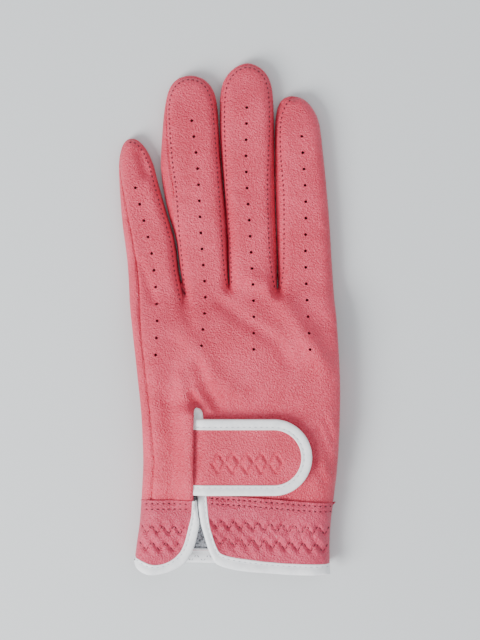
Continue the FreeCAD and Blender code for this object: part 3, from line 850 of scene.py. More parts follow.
# %% The strip round the outline
inward = -normals_2d(silhouette)
gap = distance_to(silhouette, panel_outline, True)
start = len(LEFT_EDGE) - 1
for name in FINGERS:
    size = len(STALL_EDGE[name])
    gap[start:start + size] = distance_to(STALL_EDGE[name], stall_panel_edge(name))
    start += size
gap = np.maximum(gap, 0.45)
gap[silhouette[:, 1] < CUFF_LINE - 3] = 0.45
between_fingers = (silhouette[:, 1] > 6) & (silhouette[:, 0] > -44 + 0.25 * np.abs(
    silhouette[:, 1])) & (silhouette[:, 0] < 36) & (silhouette[:, 1] < 90)
recess = 1.6 * between_fingers * ease(silhouette[:, 1], 6, 20)
cross_seam = 0.6 * bump(np.abs(silhouette[:, 1] - 41.6), 0.7) * (silhouette[:, 0] < -40)
strip_rows = []
for extra_depth in (1.2, 0.5):
    plan_row = silhouette + inward * (gap + extra_depth)[:, None]
    strip_rows.append(np.column_stack([plan_row, back_surface(plan_row) - 1.25]))
for share in np.linspace(0, 1, 10):
    depth = gap * (1 - share) ** 1.6
    plan_row = silhouette + inward * depth[:, None]
    from_edge = gap - depth
    tucked = 0.75 * np.exp(-from_edge / 1.6) + 0.7 * np.exp(-from_edge / 0.5)
    drop = tucked + recess * ease(share, 0.05, 0.5) + cross_seam
    strip_rows.append(np.column_stack([plan_row, back_surface(plan_row) - drop]))
turn_height = strip_rows[-1][:, 2]
for depth in (0.08, 0.3, 0.8, 1.5, 2.4):
    plan_row = silhouette + inward * depth
    low = palm_height(plan_row[:, 1])
    fall = (turn_height - low) * (1 - rolled(depth, 3.4 + 3 * ease(-plan_row[:, 1], -14, 14)))
    strip_rows.append(np.column_stack([plan_row, low + fall + 0.95 * ease(depth, 0.3, 1.3)]))
print("rows across the strip:", len(strip_rows))

# %% Which body each column of the strip follows
side_points = np.vstack(strip_rows)
columns = len(silhouette)
side_faces = strip_faces(len(strip_rows), columns)
side_normals = smooth_normals(side_points, side_faces)
column_owner = np.zeros(columns - 1, int)
start = len(LEFT_EDGE) - 1
middle_y = (silhouette[:-1, 1] + silhouette[1:, 1]) / 2
for number, name in enumerate(FINGERS):
    mine = np.arange(start, start + len(STALL_EDGE[name]) - 1)
    if name == "little":
        mine = np.concatenate([np.arange(start - 3, start), mine])
    column_owner[mine[middle_y[mine] > ROOT_START[name]]] = 2 * number + 1
    column_owner[mine[middle_y[mine] > TIP_START[name]]] = 2 * number + 2
    start += len(STALL_EDGE[name])
kept = (silhouette[:-1, 0] < 0) & (middle_y > -97) | (silhouette[:-1, 0] > 0) & (middle_y > -100.5)
column_owner[~kept] = -1
side_owner = np.tile(column_owner, len(strip_rows) - 1)
print("columns on the hand:", int((column_owner == 0).sum()))

# %% The strip, cut into its pieces
SIDE_NODES = {
    "little": ("seam_side", "fourchette_right"), "ring": ("fourchette_left", "fourchette_right"),
    "middle": ("fourchette_left", "fourchette_right"), "index": ("fourchette_left", "fold_side"),
}
hand_sides = leather("hand_side_leather", side_points, side_faces[side_owner == 0],
                     side_normals, ROSE)
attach(hand_sides, "hand")
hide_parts("outer_side_strip", "index_side_fold", "little_ring_fork",
            "ring_middle_fork", "middle_index_fork")
for name, segment, label in STALL_PARTS:
    part = leather(f"{name}_{segment}_side_leather", side_points,
                   side_faces[side_owner == label], side_normals, ROSE)
    bend(part, name, segment)
    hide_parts(*(f"{name}_{segment}_{side}" for side in SIDE_NODES[name]))
print("side strip:", columns, "columns,", len(strip_rows), "rows")

# %% [markdown]
# ## The palm
# One panel in smooth leather, with the four stall palms and a round opening at its side
# for the thumb.

# %% Palm panel with the thumb opening
thumb_joint = joints["thumb_unfold"]["pos_m"]
FOLD_X, THUMB_Y = thumb_joint[0] / MM, thumb_joint[1] / MM
OPENING = 17.0
palm_line = silhouette + inward * 1.2
palm_line = palm_line[palm_line[:, 1] > CUFF_LINE - 0.8]
opening_turn = np.radians(np.linspace(93, 267, 40))
opening = np.column_stack([FOLD_X + OPENING * np.cos(opening_turn),
                           THUMB_Y + OPENING * np.sin(opening_turn)])
right_side = (palm_line[:, 0] > 30) & (palm_line[:, 1] < 5)
above = ~right_side | (palm_line[:, 1] > opening[0, 1] + 0.4)
below = right_side & (palm_line[:, 1] < opening[-1, 1] - 0.4)
floor_edge = np.column_stack([np.arange(40, -35, -2.0), np.full(38, CUFF_LINE - 0.8)])
palm_outline = np.vstack([palm_line[above], opening, palm_line[below], floor_edge])
palm_cuts = []
for name in FINGERS:
    edge = offset_line(STALL_EDGE[name], -1.2)
    tip = edge[:, 1].argmax()
    for y in (ROOT_START[name], TIP_START[name]):
        left = np.interp(y, edge[:tip, 1], edge[:tip, 0])
        right = np.interp(-y, -edge[tip:, 1], edge[tip:, 0])
        palm_cuts.append(np.column_stack([np.linspace(left, right, 14)[1:-1], np.full(12, y)]))
palm_plan, palm_faces = fill_pattern(palm_outline, (), palm_cuts, 1.9, (0.5, 1.2))
palm_points = np.column_stack([palm_plan, palm_surface(palm_plan)])
palm_owner = segment_of(palm_plan[palm_faces].mean(1))
palm_faces = palm_faces[:, ::-1]
palm_normals = smooth_normals(palm_points, palm_faces)
palm = leather("hand_palm_leather", palm_points, palm_faces[palm_owner == 0], palm_normals, SUEDE)
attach(palm, "hand")
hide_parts("palm_panel")
for name, segment, label in STALL_PARTS:
    part = leather(f"{name}_{segment}_palm_leather", palm_points,
                   palm_faces[palm_owner == label], palm_normals, SUEDE)
    bend(part, name, segment)
    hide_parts(f"{name}_{segment}_palm")
print("palm:", len(palm_points), "points")

# %% Thumb stall, folded flat under the palm
THUMB_TURN = math.radians(58)
THUMB_LENGTH = 51.6
thumb_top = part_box("thumb_front")[1].z / MM
across = np.linspace(0, 2 * math.pi, 57)[:-1]
superellipse = np.column_stack([np.sign(np.cos(across)) * np.abs(np.cos(across)) ** 0.55,
                                np.sign(np.sin(across)) * np.abs(np.sin(across)) ** 0.75])


def thumb_point(side, along, z):
    """A point of the thumb in glove coordinates; side and along follow the stall."""
    x = FOLD_X + side * math.cos(THUMB_TURN) - along * math.sin(THUMB_TURN)
    y = THUMB_Y + side * math.sin(THUMB_TURN) + along * math.cos(THUMB_TURN)
    return x, y, z


thumb_points = []
stations = np.concatenate([np.linspace(0, 0.8, 22), 1 - 0.2 * (1 - np.linspace(0, 1, 12)[1:]) ** 2])
for share in stations:
    for flat, high in superellipse:
        top_share = 0.5 + 0.5 * high
        side = 10.8 * flat
        mouth = (1 - top_share) * (side / math.tan(THUMB_TURN) + 1.4) \
            + top_share * math.sqrt(max(OPENING ** 2 - side ** 2, 0)) - 0.6
        along = mouth + (THUMB_LENGTH - mouth) * share
        near_tip = max(0.0, (along - THUMB_LENGTH + 10.5) / 10.5)
        slim = math.sqrt(max(1 - near_tip ** 2, 0.0))
        width = (1 - 0.09 * share) * slim
        height = thumb_top / 2
        z = height + (height - 0.05) * high * (0.35 + 0.65 * slim)
        thumb_points.append(thumb_point(side * width, along, z))
thumb_points = np.array(thumb_points)
ring_size = len(superellipse)
index = np.arange(len(thumb_points)).reshape(-1, ring_size)
after = np.roll(index, -1, axis=1)
thumb_faces = np.column_stack([index[:-1].ravel(), after[:-1].ravel(), after[1:].ravel(),
                               index[1:].ravel()])
thumb_normals = smooth_normals(thumb_points, thumb_faces)
centre_line = thumb_points.reshape(-1, ring_size, 3).mean(1)
if ((thumb_points[:ring_size] - centre_line[0]) * thumb_normals[:ring_size]).sum() < 0:
    thumb_faces = thumb_faces[:, ::-1]
    thumb_normals = -thumb_normals
thumb = leather("thumb_leather", thumb_points, thumb_faces, thumb_normals, SUEDE, 0.6)
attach(thumb, "thumb")
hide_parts("thumb_back", "thumb_front", "thumb_side_lower", "thumb_side_upper")
print("thumb:", len(thumb_points), "points")

# %% The fold that joins the thumb to the hand
fold_y = np.linspace(THUMB_Y + OPENING, THUMB_Y - OPENING, 45)
fold_edge = np.interp(-fold_y, -RIGHT_EDGE[:, 1], RIGHT_EDGE[:, 0])
fold_top = edge_height(fold_edge, fold_y)
fold_rows = []
for out, share in ((-2.0, 0.98), (-1.1, 0.93), (-0.6, 0.8), (-0.45, 0.6), (-0.7, 0.38),
                   (-1.6, 0.17), (-3.0, 0.07), (-4.8, 0.12), (-6.6, 0.16)):
    z = fold_top * share
    x = fold_edge + out
    narrow = 1 - 0.2 * (1 - share)
    fold_rows.append(np.column_stack([x, THUMB_Y + (fold_y - THUMB_Y) * narrow, z]))
fold_points = np.vstack(fold_rows)
fold_faces = strip_faces(len(fold_rows), len(fold_y))
fold_normals = smooth_normals(fold_points, fold_faces)
if fold_normals[:, 0].sum() < 0:
    fold_faces = fold_faces[:, ::-1]
    fold_normals = -fold_normals
thumb_fold = leather("thumb_fold_leather", fold_points, fold_faces, fold_normals, SUEDE, 0.6)
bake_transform(thumb_fold)
print("thumb fold:", len(fold_points), "points")

# %% [markdown]
# ## The cuff
# Two flaps of gathered leather meet under the tab. Elastic is sewn behind them with two
# rows of zigzag, so the leather puffs up between the stitches.

# %% Flap patterns
LEFT_INNER = ruler([(-15.2, -73.2), (-15.7, -79.5), (-16.8, -84.3), (-18.7, -91.4),
                    (-21, -95.5), (-25.3, -98.8), (-31.3, -100), (-38.6, -97.6)], 0.6)
LEFT_OUTER = ruler([(-13.6, -73.2), (-13.1, -79.5), (-12.7, -83.6), (-14.4, -91.4),
                    (-16.2, -95.9), (-19.3, -99.9), (-25.4, -103), (-33.2, -104.1),
                    (-38.2, -101.6), (-39.6, -98.6)], 0.6)
RIGHT_INNER = ruler([(-9.6, -70.6), (-8.7, -80.8), (-7.5, -86.5), (-5.4, -92.7), (-2.5, -95.8),
                     (6.6, -97.6), (20.9, -99.2), (41.0, -100.0)], 0.6)
RIGHT_OUTER = ruler([(-13.3, -70.6), (-12.1, -80.8), (-10.8, -86.5), (-9, -92.7), (-7.4, -96.4),
                     (-5, -99.8), (2.9, -102.1), (15.2, -103.3), (27, -104.1), (41.3, -104.2)],
                    0.6)
left_side = LEFT_EDGE[(LEFT_EDGE[:, 1] > -97) & (LEFT_EDGE[:, 1] < -74.3)]
right_side_line = RIGHT_EDGE[(RIGHT_EDGE[:, 1] < -75.6) & (RIGHT_EDGE[:, 1] > -99.6)]
FLAPS = {
    "left": np.vstack([left_side, LEFT_SEAM, LEFT_INNER[1:]]),
    "right": np.vstack([RIGHT_INNER[::-1][:-1], RIGHT_SEAM[RIGHT_SEAM[:, 0] > -9.2],
                        right_side_line]),
}
print("flaps:", {side: len(outline) for side, outline in FLAPS.items()})

# %% Zigzag rows that gather the cuff
ZIGZAG_PITCH = 5.1


def zigzag(start, end, height=3.6, lean=0.56):
    """Corners of a zigzag along a line: strokes down to the right, then up."""
    start, end = np.array(start, float), np.array(end, float)
    count = round(np.linalg.norm(end - start) / ZIGZAG_PITCH)
    corners = []
    for i in range(count):
        corners.append(start + (end - start) * i / count + (0, height / 2))
        corners.append(start + (end - start) * (i + lean) / count - (0, height / 2))
    return np.array(corners + [end + (0, height / 2)])


ZIGZAGS = {
    "left": (zigzag((-36.4, -85.4), (-18.4, -85.6)), zigzag((-37.4, -92.3), (-20.8, -92.5))),
    "right": (zigzag((-8.0, -82.9), (40.8, -86.2)), zigzag((-6.2, -89.9), (40.2, -93.4))),
}


print("zigzag corners:", {side: len(lines[0]) for side, lines in ZIGZAGS.items()})

# %% The flaps, puffed up between the rows


def gathers(points, side):
    """Leather that puffs up between the zigzag stitches, with slanted creases."""
    x, y = points[:, 0], points[:, 1]
    total = np.zeros(len(points))
    for line in ZIGZAGS[side]:
        near = distance_to(points, line)
        total -= 0.75 * bump(near, 0.42) + 0.3 * bump(near, 1.6)
    slanted = np.cos(2 * math.pi * ((x * 0.77 + y * 0.64) / (ZIGZAG_PITCH * 0.77) + 0.35))
    total += 0.17 * slanted * ease(-y, 79, 84) * (1 - ease(-y, 95, 98))
    total += 0.35 * ripple(x * 0.9 + y * 0.9, y * 0.4 - x * 0.25, 4.5, 5.5)
    return total


def flap_height(points, side):
    """Height of a cuff flap: the back's height, two seam furrows and the gathers."""
    seam = LEFT_SEAM if side == "left" else RIGHT_SEAM
    from_seam = distance_to(points, seam)
    rows = 0.3 * bump(from_seam - 1.4, 0.6) + 0.3 * bump(from_seam - 3.6, 0.6)
    depth = distance_to(points, silhouette)
    return back_surface(points) + 0.5 + (gathers(points, side) - rows + 0.3) * ease(depth, 0.2, 2.5)


for side, outline in FLAPS.items():
    flap_plan, flap_faces = fill_pattern(thinned(outline, 0.5), (), (), 0.68, (0.35,))
    flap_points = np.column_stack([flap_plan, flap_height(flap_plan, side)])
    flap_normals = smooth_normals(flap_points, flap_faces)
    flap = leather(f"cuff_{side}_flap_leather", flap_points, flap_faces, flap_normals,
                   CUFF_ROSE)
    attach(flap, "hand")
    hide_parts(f"cuff_{side}_flap")
    print("flap:", side, len(flap_points), "points")

# %% Palm side of the cuff
cuff_line = silhouette + inward * 1.2
cuff_left = cuff_line[(cuff_line[:, 0] < 0) & (cuff_line[:, 1] < CUFF_LINE)
                      & (cuff_line[:, 1] > -96)]
cuff_right = cuff_line[(cuff_line[:, 0] > 0) & (cuff_line[:, 1] < CUFF_LINE)
                       & (cuff_line[:, 1] > -96)]
cuff_outline = thinned(np.vstack([cuff_left, cuff_right]), 0.8)
cuff_plan, cuff_faces = fill_pattern(cuff_outline, (), (), 2.2, (0.6,))
cuff_points = np.column_stack([cuff_plan, palm_surface(cuff_plan)])
cuff_faces = cuff_faces[:, ::-1]
cuff_palm = leather("cuff_palm_leather", cuff_points, cuff_faces,
                    smooth_normals(cuff_points, cuff_faces), SUEDE)
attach(cuff_palm, "hand")
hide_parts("cuff_palm")
print("palm side of the cuff:", len(cuff_points), "points")

# %% Net and elastic inside the cuff


def cloth(name, corners, height, material, node, thickness=0.5, spacing=1.6):
    """A flat cloth piece over a closed outline, at a height given by a function."""
    outline = ruler(corners + corners[:1], spacing)[:-1]
    cloth_plan, cloth_faces = fill_pattern(outline, (), (), spacing, (0.5,))
    points = np.column_stack([cloth_plan, height(cloth_plan)])
    piece = leather(name, points, cloth_faces, smooth_normals(points, cloth_faces), material,
                    thickness)
    if node:
        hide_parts(node)
    return piece


def straight_sides(corners, count):
    """A closed outline through corners, with evenly spaced points on each side."""
    sides = zip(corners, corners[1:] + corners[:1])
    return np.vstack([np.linspace(a, b, count)[:-1] for a, b in sides])


def net_height(points):
    """The net hangs from the slit down to the palm hem."""
    return 11.2 - 9.7 * ease(-points[:, 1], 74, 94)


net = cloth("vent_net", [(-20, -72.5), (-4.5, -72.5), (-3.5, -85), (-2.5, -97), (-12, -97.2),
                         (-22.5, -97), (-21, -85)], net_height, NET, "vent_gusset")
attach(net, "hand")
for side, corners in (("left", [(-34, -79), (-18, -79), (-20.5, -94.5), (-34.5, -95.5)]),
                      ("right", [(-6, -79), (39, -80), (37.8, -96), (-1.5, -94)])):
    band_outline = [tuple(p) for p in thinned(straight_sides(corners, 20), 1.2)]
    band = cloth(f"elastic_{side}_band", band_outline,
                 lambda points: back_surface(points) - 1.1, ELASTIC, f"elastic_{side}")
    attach(band, "hand")
palm_band = cloth("elastic_palm_band", [(-33, -80), (0, -81), (36, -80), (36, -96.6), (0, -97),
                                        (-33, -96.4)],
                  lambda points: palm_surface(points) + 1.3, ELASTIC, "elastic_palm")
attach(palm_band, "hand")
print("cloth pieces:", net.name, palm_band.name)

# %% [markdown]
# ## White binding
# A tape is folded over each raw edge of the cuff and of the tab. Its section is a flat loop.

# %% Tape folded over an edge


def tape(name, inner, outer, height, drop, material=None, step=0.7):
    """A closed tape between two lines; drop is how far its underside lies below its top."""
    count = round(np.linalg.norm(np.diff(outer, axis=0), axis=1).sum() / step)
    inner, outer = resample(np.asarray(inner, float), count), resample(
        np.asarray(outer, float), count)
    across = outer - inner
    unit = across / np.maximum(np.linalg.norm(across, axis=1), 1e-6)[:, None]
    rows = []
    for share, raise_by in ((0, -0.25), (0.0, 0.0), (0.06, 0.16), (0.15, 0.14), (0.26, -0.1),
                            (0.4, 0.18), (0.6, 0.3), (0.8, 0.3), (0.93, 0.12), (1.0, -0.18)):
        plan_row = inner + across * share
        rows.append(np.column_stack([plan_row, height(plan_row) + raise_by]))
    edge_top = rows[-1][:, 2]
    for out, share in ((0.16, 0.3), (0.16, 0.7), (0.0, 0.95)):
        rows.append(np.column_stack([outer + unit * out, edge_top - drop * share]))
    for share in (0.9, 0.4, 0.0):
        plan_row = inner + across * share
        rows.append(np.column_stack([plan_row, height(plan_row) - drop]))
    points = np.vstack(rows)
    size = len(rows)
    index = np.arange(len(points)).reshape(size, count)
    after = np.roll(index, -1, axis=0)
    faces = np.column_stack([index[:, :-1].ravel(), index[:, 1:].ravel(),
                             after[:, 1:].ravel(), after[:, :-1].ravel()])
    faces = faces.tolist()
    top = smooth_normals(points, np.array(faces))[5 * count:6 * count, 2].sum()
    ends = [index[:, 0].tolist(), index[::-1, -1].tolist()]
    if top < 0:
        faces = [face[::-1] for face in faces]
        ends = [end[::-1] for end in ends]
    piece = new_piece(name, points, faces + ends, material or WHITE)
    for polygon in piece.data.polygons[len(faces):]:
        polygon.use_smooth = False
    return piece


print("tape: a flat loop that follows two lines")

# %% Bindings of the flaps and of the palm hem
left_binding = tape("cuff_left_binding", LEFT_INNER, LEFT_OUTER,
                    lambda points: back_surface(points) + 0.75, 2.0)
right_binding = tape("cuff_right_binding", RIGHT_INNER, RIGHT_OUTER,
                     lambda points: back_surface(points) + 0.75, 2.0)
hem_inner = ruler([(-36.4, -93.6), (-12, -94.4), (10, -94.6), (38.6, -95)])
hem_outer = ruler([(-37.0, -99.6), (-12, -100.4), (10, -100.8), (39.0, -101.4)])
hem_binding = tape("palm_hem_binding", hem_inner, hem_outer,
                   lambda points: palm_surface(points) + 2.1, 1.7)
for piece, node in ((left_binding, "binding_left"), (right_binding, "binding_right"),
                    (hem_binding, "binding_palm_hem")):
    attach(piece, "hand")
    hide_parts(node)
    print("binding:", piece.name)

# %% Bar of tape round the top of the slit
loop_left = ruler([(SLIT_X - 0.6, -36.6), (SLIT_X - 0.5, -39), (SLIT_X - 0.4, -42)], 0.4)
loop_right = ruler([(SLIT_X + 0.4, -35.7), (SLIT_X + 2.0, -36.2), (SLIT_X + 3.0, -38),
                    (SLIT_X + 3.4, -42)], 0.4)


def right_of_slit(points):
    """The back's height, taken just right of the slit."""
    return back_surface(np.column_stack([np.maximum(points[:, 0], SLIT_X + 0.1), points[:, 1]]))


slit_bar = tape("slit_bar_tape", loop_left, loop_right,
                lambda points: right_of_slit(points) + 0.8, 1.1, step=0.4)
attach(slit_bar, "hand")
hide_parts("slit_loop")
print("bar at the top of the slit:", len(slit_bar.data.vertices), "points")

# %% [markdown]
# ## The wrist tab
# The tab comes out from under the left edge of the slit and lies across the back. It holds
# itself a little above the leather, so it throws a soft shadow.

# %% Outline of the tab
peel = joints["tab_peel"]["pos_m"]
TAB_Y = peel[1] / MM
TAB_BASE = peel[0] / MM
INNER_RADIUS = (TAB_BOX[1].y - TAB_BOX[0].y) / 2 / MM
OUTER_RADIUS = (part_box("tab_binding")[1].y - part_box("tab_binding")[0].y) / 2 / MM
TAB_CENTRE = TAB_BOX[1].x / MM - INNER_RADIUS
TUCK = 1.6


def tab_line(radius):
    """From the upper base corner, round the end, to the lower base corner."""
    turn = np.radians(np.linspace(90, -90, 44))
    end = np.column_stack([TAB_CENTRE + radius * np.cos(turn), TAB_Y + radius * np.sin(turn)])
    straight = np.arange(TAB_BASE - TUCK, TAB_CENTRE - 0.4, 0.7)
    top = np.column_stack([straight, np.full(len(straight), TAB_Y + radius)])
    return np.vstack([top, end, top[::-1] * (1, -1) + (0, 2 * TAB_Y)])


print("tab:", round(2 * OUTER_RADIUS, 1), "mm wide")

# %% Height of the tab and its row of embossed diamonds
DIAMONDS = [[(x - 2.5, y), (x, y + 3.9), (x + 2.5, y), (x, y - 3.9), (x - 2.5, y)]
            for x, y in ((-4.6 + 5.8 * i, TAB_Y - 2.4) for i in range(5))]


def tab_height(points):
    """The tab's top: flat over the pads, lower where it goes under the slit's edge."""
    x, y = points[:, 0], points[:, 1]
    base = TAB_BOX[1].z / MM
    wave = 0.25 * ripple(x, y, 16, 40.0) * ease(x, -12, 0)
    return base + wave - 1.3 * (1 - ease(x, TAB_BASE - 1, TAB_BASE + 6))


def emboss(points):
    """The diamonds: a groove along each outline and a slight pillow inside it."""
    near = np.min([distance_to(points, np.array(shape)) for shape in DIAMONDS], axis=0)
    within = inside(points, [np.array(shape[:-1]) for shape in DIAMONDS])
    return 0.26 * within - 0.85 * bump(near, 0.52)


print("diamonds:", len(DIAMONDS))

# %% Leather, tape and lining of the tab


def tab_blend(piece, *nodes, slot):
    """Bake a piece of the tab into place and hide its frame parts."""
    (TAB_BASE - 0.3) * MM
    (TAB_BASE + 6) * MM
    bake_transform(piece)
    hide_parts(*nodes)


inner_line, outer_line = tab_line(INNER_RADIUS), tab_line(OUTER_RADIUS)
middle_line = tab_line((INNER_RADIUS + OUTER_RADIUS) / 2)
tab_rim = np.column_stack([np.full(24, TAB_BASE - TUCK), np.linspace(
    inner_line[-1, 1], inner_line[0, 1], 26)[1:-1]])
tab_plan, tab_faces = fill_pattern(np.vstack([inner_line, tab_rim]), (), (), 0.62, (0.4,))
tab_points = np.column_stack([tab_plan, tab_height(tab_plan) + emboss(tab_plan)])
tab = leather("tab_leather_top", tab_points, tab_faces, smooth_normals(tab_points, tab_faces),
              ROSE, 0.5)
tab_blend(tab, "tab_leather", slot="rose_leather")
tab_tape = tape("tab_binding_tape", inner_line, outer_line,
                lambda points: tab_height(points) + 0.2, 1.8)
tab_blend(tab_tape, "tab_binding", slot="white_binding")
lining_rim = np.column_stack([np.full(15, TAB_BASE - TUCK), np.linspace(
    middle_line[-1, 1], middle_line[0, 1], 17)[1:-1]])
lining_outline = [tuple(p) for p in thinned(np.vstack([middle_line, lining_rim]), 1.0)]
lining = cloth("tab_lining_sheet", lining_outline, lambda points: tab_height(points) - 1.15,
               WHITE, None, 0.35, 1.3)
tab_blend(lining, "tab_lining", slot="white_binding")
print("tab:", len(tab_points), "points")

# %% Hook pad under the tab, loop pad on the back


def pad_outline(box):
    """The rectangle of a pad."""
    low, high = box
    x1, y1, x2, y2 = low.x / MM, low.y / MM, high.x / MM, high.y / MM
    return [tuple(p) for p in straight_sides([(x1, y1), (x2, y1), (x2, y2), (x1, y2)], 14)]


hook = cloth("tab_hook_pad", pad_outline(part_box("hook_pad")),
             lambda points: tab_height(points) - 1.4, PILE, "hook_pad", 0.6)
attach(hook, "tab")
loop = cloth("closure_loop_pad", pad_outline(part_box("loop_pad")),
             lambda points: back_surface(points) + 0.6, PILE, "loop_pad", 0.7)
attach(loop, "hand")
print("pads:", hook.name, loop.name)

# %% [markdown]
# ## Stitching
# Every stitch is the same small thread pill. A Geometry Nodes group puts one pill on each
# point and turns it along the seam; the lists of points come from the seam lines above.

# %% Thread pills by Geometry Nodes


def stitch_group():
    """Pills on points, turned along the 'along' attribute."""
    group = bpy.data.node_groups.new("stitch_row", "GeometryNodeTree")
    face = group.interface
    face.new_socket("Geometry", in_out="INPUT", socket_type="NodeSocketGeometry")
    face.new_socket("Half Length", in_out="INPUT", socket_type="NodeSocketFloat")
    face.new_socket("Radius", in_out="INPUT", socket_type="NodeSocketFloat")
    face.new_socket("Unevenness", in_out="INPUT", socket_type="NodeSocketFloat")
    face.new_socket("Seed", in_out="INPUT", socket_type="NodeSocketInt")
    face.new_socket("Thread", in_out="INPUT", socket_type="NodeSocketMaterial")
    face.new_socket("Geometry", in_out="OUTPUT", socket_type="NodeSocketGeometry")
    add, link = group.nodes.new, group.links.new
    inputs, outputs = add("NodeGroupInput"), add("NodeGroupOutput")
    pill = add("GeometryNodeMeshUVSphere")
    pill.inputs["Segments"].default_value = 6
    pill.inputs["Rings"].default_value = 5
    pill.inputs["Radius"].default_value = 1.0
    along = add("GeometryNodeInputNamedAttribute")
    along.data_type = "FLOAT_VECTOR"
    along.inputs["Name"].default_value = "along"
    turn = add("FunctionNodeAlignRotationToVector")
    turn.axis = "Z"
    link(along.outputs["Attribute"], turn.inputs["Vector"])
    uneven = add("FunctionNodeRandomValue")
    uneven.data_type = "FLOAT"
    low = add("ShaderNodeMath")
    low.operation = "SUBTRACT"
    low.inputs[0].default_value = 1.0
    link(inputs.outputs["Unevenness"], low.inputs[1])
    floats = [socket for socket in uneven.inputs if socket.type == "VALUE"]
    link(low.outputs[0], floats[0])
    floats[1].default_value = 1.0
    link(inputs.outputs["Seed"], uneven.inputs["Seed"])
    length = add("ShaderNodeMath")
    length.operation = "MULTIPLY"
    random_out = [socket for socket in uneven.outputs if socket.type == "VALUE" and socket.enabled]
    link(random_out[0], length.inputs[0])
    link(inputs.outputs["Half Length"], length.inputs[1])
    size = add("ShaderNodeCombineXYZ")
    link(inputs.outputs["Radius"], size.inputs["X"])
    link(inputs.outputs["Radius"], size.inputs["Y"])
    link(length.outputs[0], size.inputs["Z"])
    place = add("GeometryNodeInstanceOnPoints")
    link(inputs.outputs["Geometry"], place.inputs["Points"])
    link(pill.outputs["Mesh"], place.inputs["Instance"])
    link(turn.outputs["Rotation"], place.inputs["Rotation"])
    link(size.outputs["Vector"], place.inputs["Scale"])
    real = add("GeometryNodeRealizeInstances")
    link(place.outputs["Instances"], real.inputs["Geometry"])
    paint = add("GeometryNodeSetMaterial")
    link(real.outputs["Geometry"], paint.inputs["Geometry"])
    link(inputs.outputs["Thread"], paint.inputs["Material"])
    link(paint.outputs["Geometry"], outputs.inputs["Geometry"])
    return group


STITCH_GROUP = stitch_group()
print("stitch group:", len(STITCH_GROUP.nodes), "nodes")

# %% Turning a row of places into stitches


def sewn_piece(name, places, directions, half_length, radius, material):
    """One plain mesh holding a pill at each place, in millimetres."""
    mesh = bpy.data.meshes.new(name + "_points")
    mesh.from_pydata((places * MM).tolist(), [], [])
    attribute = mesh.attributes.new("along", "FLOAT_VECTOR", "POINT")
    attribute.data.foreach_set("vector", directions.ravel())
    source = bpy.data.objects.new(name + "_points", mesh)
    bpy.context.scene.collection.objects.link(source)
    modifier = source.modifiers.new("stitches", "NODES")
    modifier.node_group = STITCH_GROUP
    values = {"Half Length": half_length * MM, "Radius": radius * MM, "Unevenness": 0.18,
              "Seed": 7, "Thread": material}
    for item in STITCH_GROUP.interface.items_tree:
        if item.in_out == "INPUT" and item.name in values:
            modifier[item.identifier] = values[item.name]
    graph = bpy.context.evaluated_depsgraph_get()
    result = bpy.data.meshes.new_from_object(source.evaluated_get(graph), depsgraph=graph)
    bpy.data.objects.remove(source)
    result.name = name
    result.shade_smooth()
    piece = bpy.data.objects.new(name, result)
    bpy.context.scene.collection.objects.link(piece)
    return piece


def stitch_places(line, height, pitch, lift=0.1):
    """Evenly spaced places on a line that lies on a surface, and the seam's direction there."""
    size = np.linalg.norm(np.diff(line, axis=0), axis=1).sum()
    plan_line = resample(line, max(2, round(size / pitch) + 1))
    middle_plan = (plan_line[:-1] + plan_line[1:]) / 2
    before, following = (middle_plan * 0.7 + plan_line[:-1] * 0.3,
                         middle_plan * 0.7 + plan_line[1:] * 0.3)
    along = np.column_stack([following - before, height(following) - height(before)])
    along /= np.linalg.norm(along, axis=1)[:, None]
    return np.column_stack([middle_plan, height(middle_plan) + lift]), along


def sew(name, rows, half_length, radius, material):
    """Join several rows of stitches that belong to the hand into one piece."""
    places = np.vstack([row[0] for row in rows])
    directions = np.vstack([row[1] for row in rows])
    piece = sewn_piece(name, places, directions, half_length, radius, material)
    return piece


print("sewing tools ready")

# %% Topstitching round the stalls
rows = [stitch_places(STITCH[name], lambda points: back_surface(points) + furrow(points), 2.0)
        for name in FINGERS]
places = np.vstack([row[0] for row in rows])
directions = np.vstack([row[1] for row in rows])
stitch_owner = segment_of(places[:, :2])


def topstitching(prefix, mine):
    """The topstitches of one body as one piece."""
    piece = sewn_piece(prefix + "_topstitching", places[mine], directions[mine], 0.55, 0.32,
                       DARK_THREAD)
    return piece


piece = topstitching("hand", stitch_owner == 0)
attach(piece, "hand")
for name, segment, label in STALL_PARTS:
    bend(topstitching(f"{name}_{segment}", stitch_owner == label), name, segment)
print("topstitches:", len(places))

# %% Stitches along zigzags and along bindings


def zigzag_places(line, side):
    """Stitches along a zigzag: two on each stroke."""
    found = [stitch_places(np.array([a, b]), lambda points: flap_height(points, side), 2.0)
             for a, b in zip(line, line[1:])]
    return np.vstack([f[0] for f in found]), np.vstack([f[1] for f in found])


def between_lines(inner, outer, share):
    """A line that lies a share of the way from one line to the other."""
    count = round(np.linalg.norm(np.diff(outer, axis=0), axis=1).sum())
    first, second = resample(inner, count), resample(outer, count)
    return first + (second - first) * share


print("stitch rows are drawn with", len(STITCH_GROUP.nodes), "nodes each")

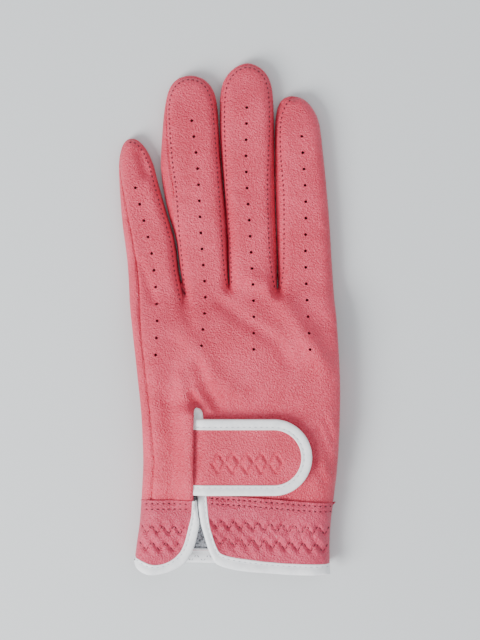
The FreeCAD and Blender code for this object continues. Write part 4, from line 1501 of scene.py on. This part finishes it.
# %% Rows of stitches on the cuff, the bindings and the tab
seam_rows = []
for side, seam in (("left", LEFT_SEAM[(LEFT_SEAM[:, 0] < -16.2) & (LEFT_SEAM[:, 0] > -35.8)]),
                   ("right", RIGHT_SEAM[(RIGHT_SEAM[:, 0] > -8.6) & (RIGHT_SEAM[:, 0] < 42.4)])):
    for distance in (1.4, 3.6):
        seam_rows.append(stitch_places(seam - (0, distance),
                                       lambda points, side=side: flap_height(points, side), 2.2))
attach(sew("cuff_seam_stitches", seam_rows, 0.58, 0.3, DARK_THREAD), "hand")
zigzag_rows = [zigzag_places(line, side) for side in ZIGZAGS for line in ZIGZAGS[side]]
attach(sew("cuff_zigzag_stitches", zigzag_rows, 0.75, 0.31, DARK_THREAD), "hand")
binding_rows = [stitch_places(between_lines(inner, outer, 0.26),
                              lambda points: back_surface(points) + 0.68, 2.3, 0.04)
                for inner, outer in ((LEFT_INNER, LEFT_OUTER), (RIGHT_INNER, RIGHT_OUTER))]
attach(sew("cuff_binding_stitches", binding_rows, 0.6, 0.17, WHITE_THREAD), "hand")
hem_zigzag = zigzag((-34, -98.2), (36, -99.2), 2.6)
hem_rows = [stitch_places(np.array([a, b]), lambda points: palm_surface(points) + 2.3, 1.6)
            for a, b in zip(hem_zigzag, hem_zigzag[1:])]
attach(sew("palm_hem_stitches", hem_rows, 0.6, 0.2, WHITE_THREAD), "hand")
tab_stitch_line = tab_line(INNER_RADIUS + 0.26 * (OUTER_RADIUS - INNER_RADIUS))
tab_row = stitch_places(tab_stitch_line, lambda points: tab_height(points) + 0.14, 2.3, 0.04)
tab_stitches = sew("tab_binding_stitches", [tab_row], 0.6, 0.17, WHITE_THREAD)
(TAB_BASE - 0.3) * MM
(TAB_BASE + 6) * MM
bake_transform(tab_stitches)
print("cuff and binding stitches:", sum(len(row[0]) for row in seam_rows + zigzag_rows))

# %% [markdown]
# ## Floor, light and camera
# Pale paper, one soft window low on the left and the room's own light. The camera looks
# straight down.

# %% Floor
bpy.ops.mesh.primitive_plane_add(size=3.0, location=(0, 0, -0.0004))
floor = bpy.context.object
floor.name = "floor"
floor_shop = Shop("pale_paper")
floor_shop.set(Base_Color=linear(216, 219, 220), Roughness=0.85, Specular_IOR_Level=0.15)
floor.data.materials.append(floor_shop.material)
print("floor:", floor_shop.material.name)

# %% Light


def soft_light(name, location, size, energy, target=(0, 0, 0)):
    """A square lamp that points at a place."""
    light = bpy.data.lights.new(name, "AREA")
    light.energy = energy
    light.size = size
    lamp = bpy.data.objects.new(name, light)
    lamp.location = location
    lamp.rotation_euler = (Vector(target) - Vector(location)).to_track_quat("-Z", "Y").to_euler()
    bpy.context.scene.collection.objects.link(lamp)
    return lamp


soft_light("window", (-0.8, -0.6, 0.72), 0.6, 24.0)
soft_light("fill", (0.7, 0.5, 1.1), 1.6, 4.5)
world = bpy.data.worlds.new("room")
bpy.context.scene.world = world
world.use_nodes = True
background = world.node_tree.nodes["Background"]
background.inputs["Color"].default_value = (0.93, 0.96, 1.0, 1)
background.inputs["Strength"].default_value = 0.78
print("lamps:", [item.name for item in bpy.data.lights])

# %% Camera, straight above the glove
camera_data = bpy.data.cameras.new("camera")
camera = bpy.data.objects.new("camera", camera_data)
bpy.context.scene.collection.objects.link(camera)
VIEW_HEIGHT = 262.4
CAMERA_DISTANCE = 620.0
camera_data.sensor_fit = "VERTICAL"
camera_data.sensor_height = 24.0
camera_data.lens = 24.0 * CAMERA_DISTANCE / VIEW_HEIGHT
camera.location = (4.1 * MM, 0, (CAMERA_DISTANCE + 8) * MM)
bpy.context.scene.camera = camera
print("lens:", round(camera_data.lens, 1), "mm")
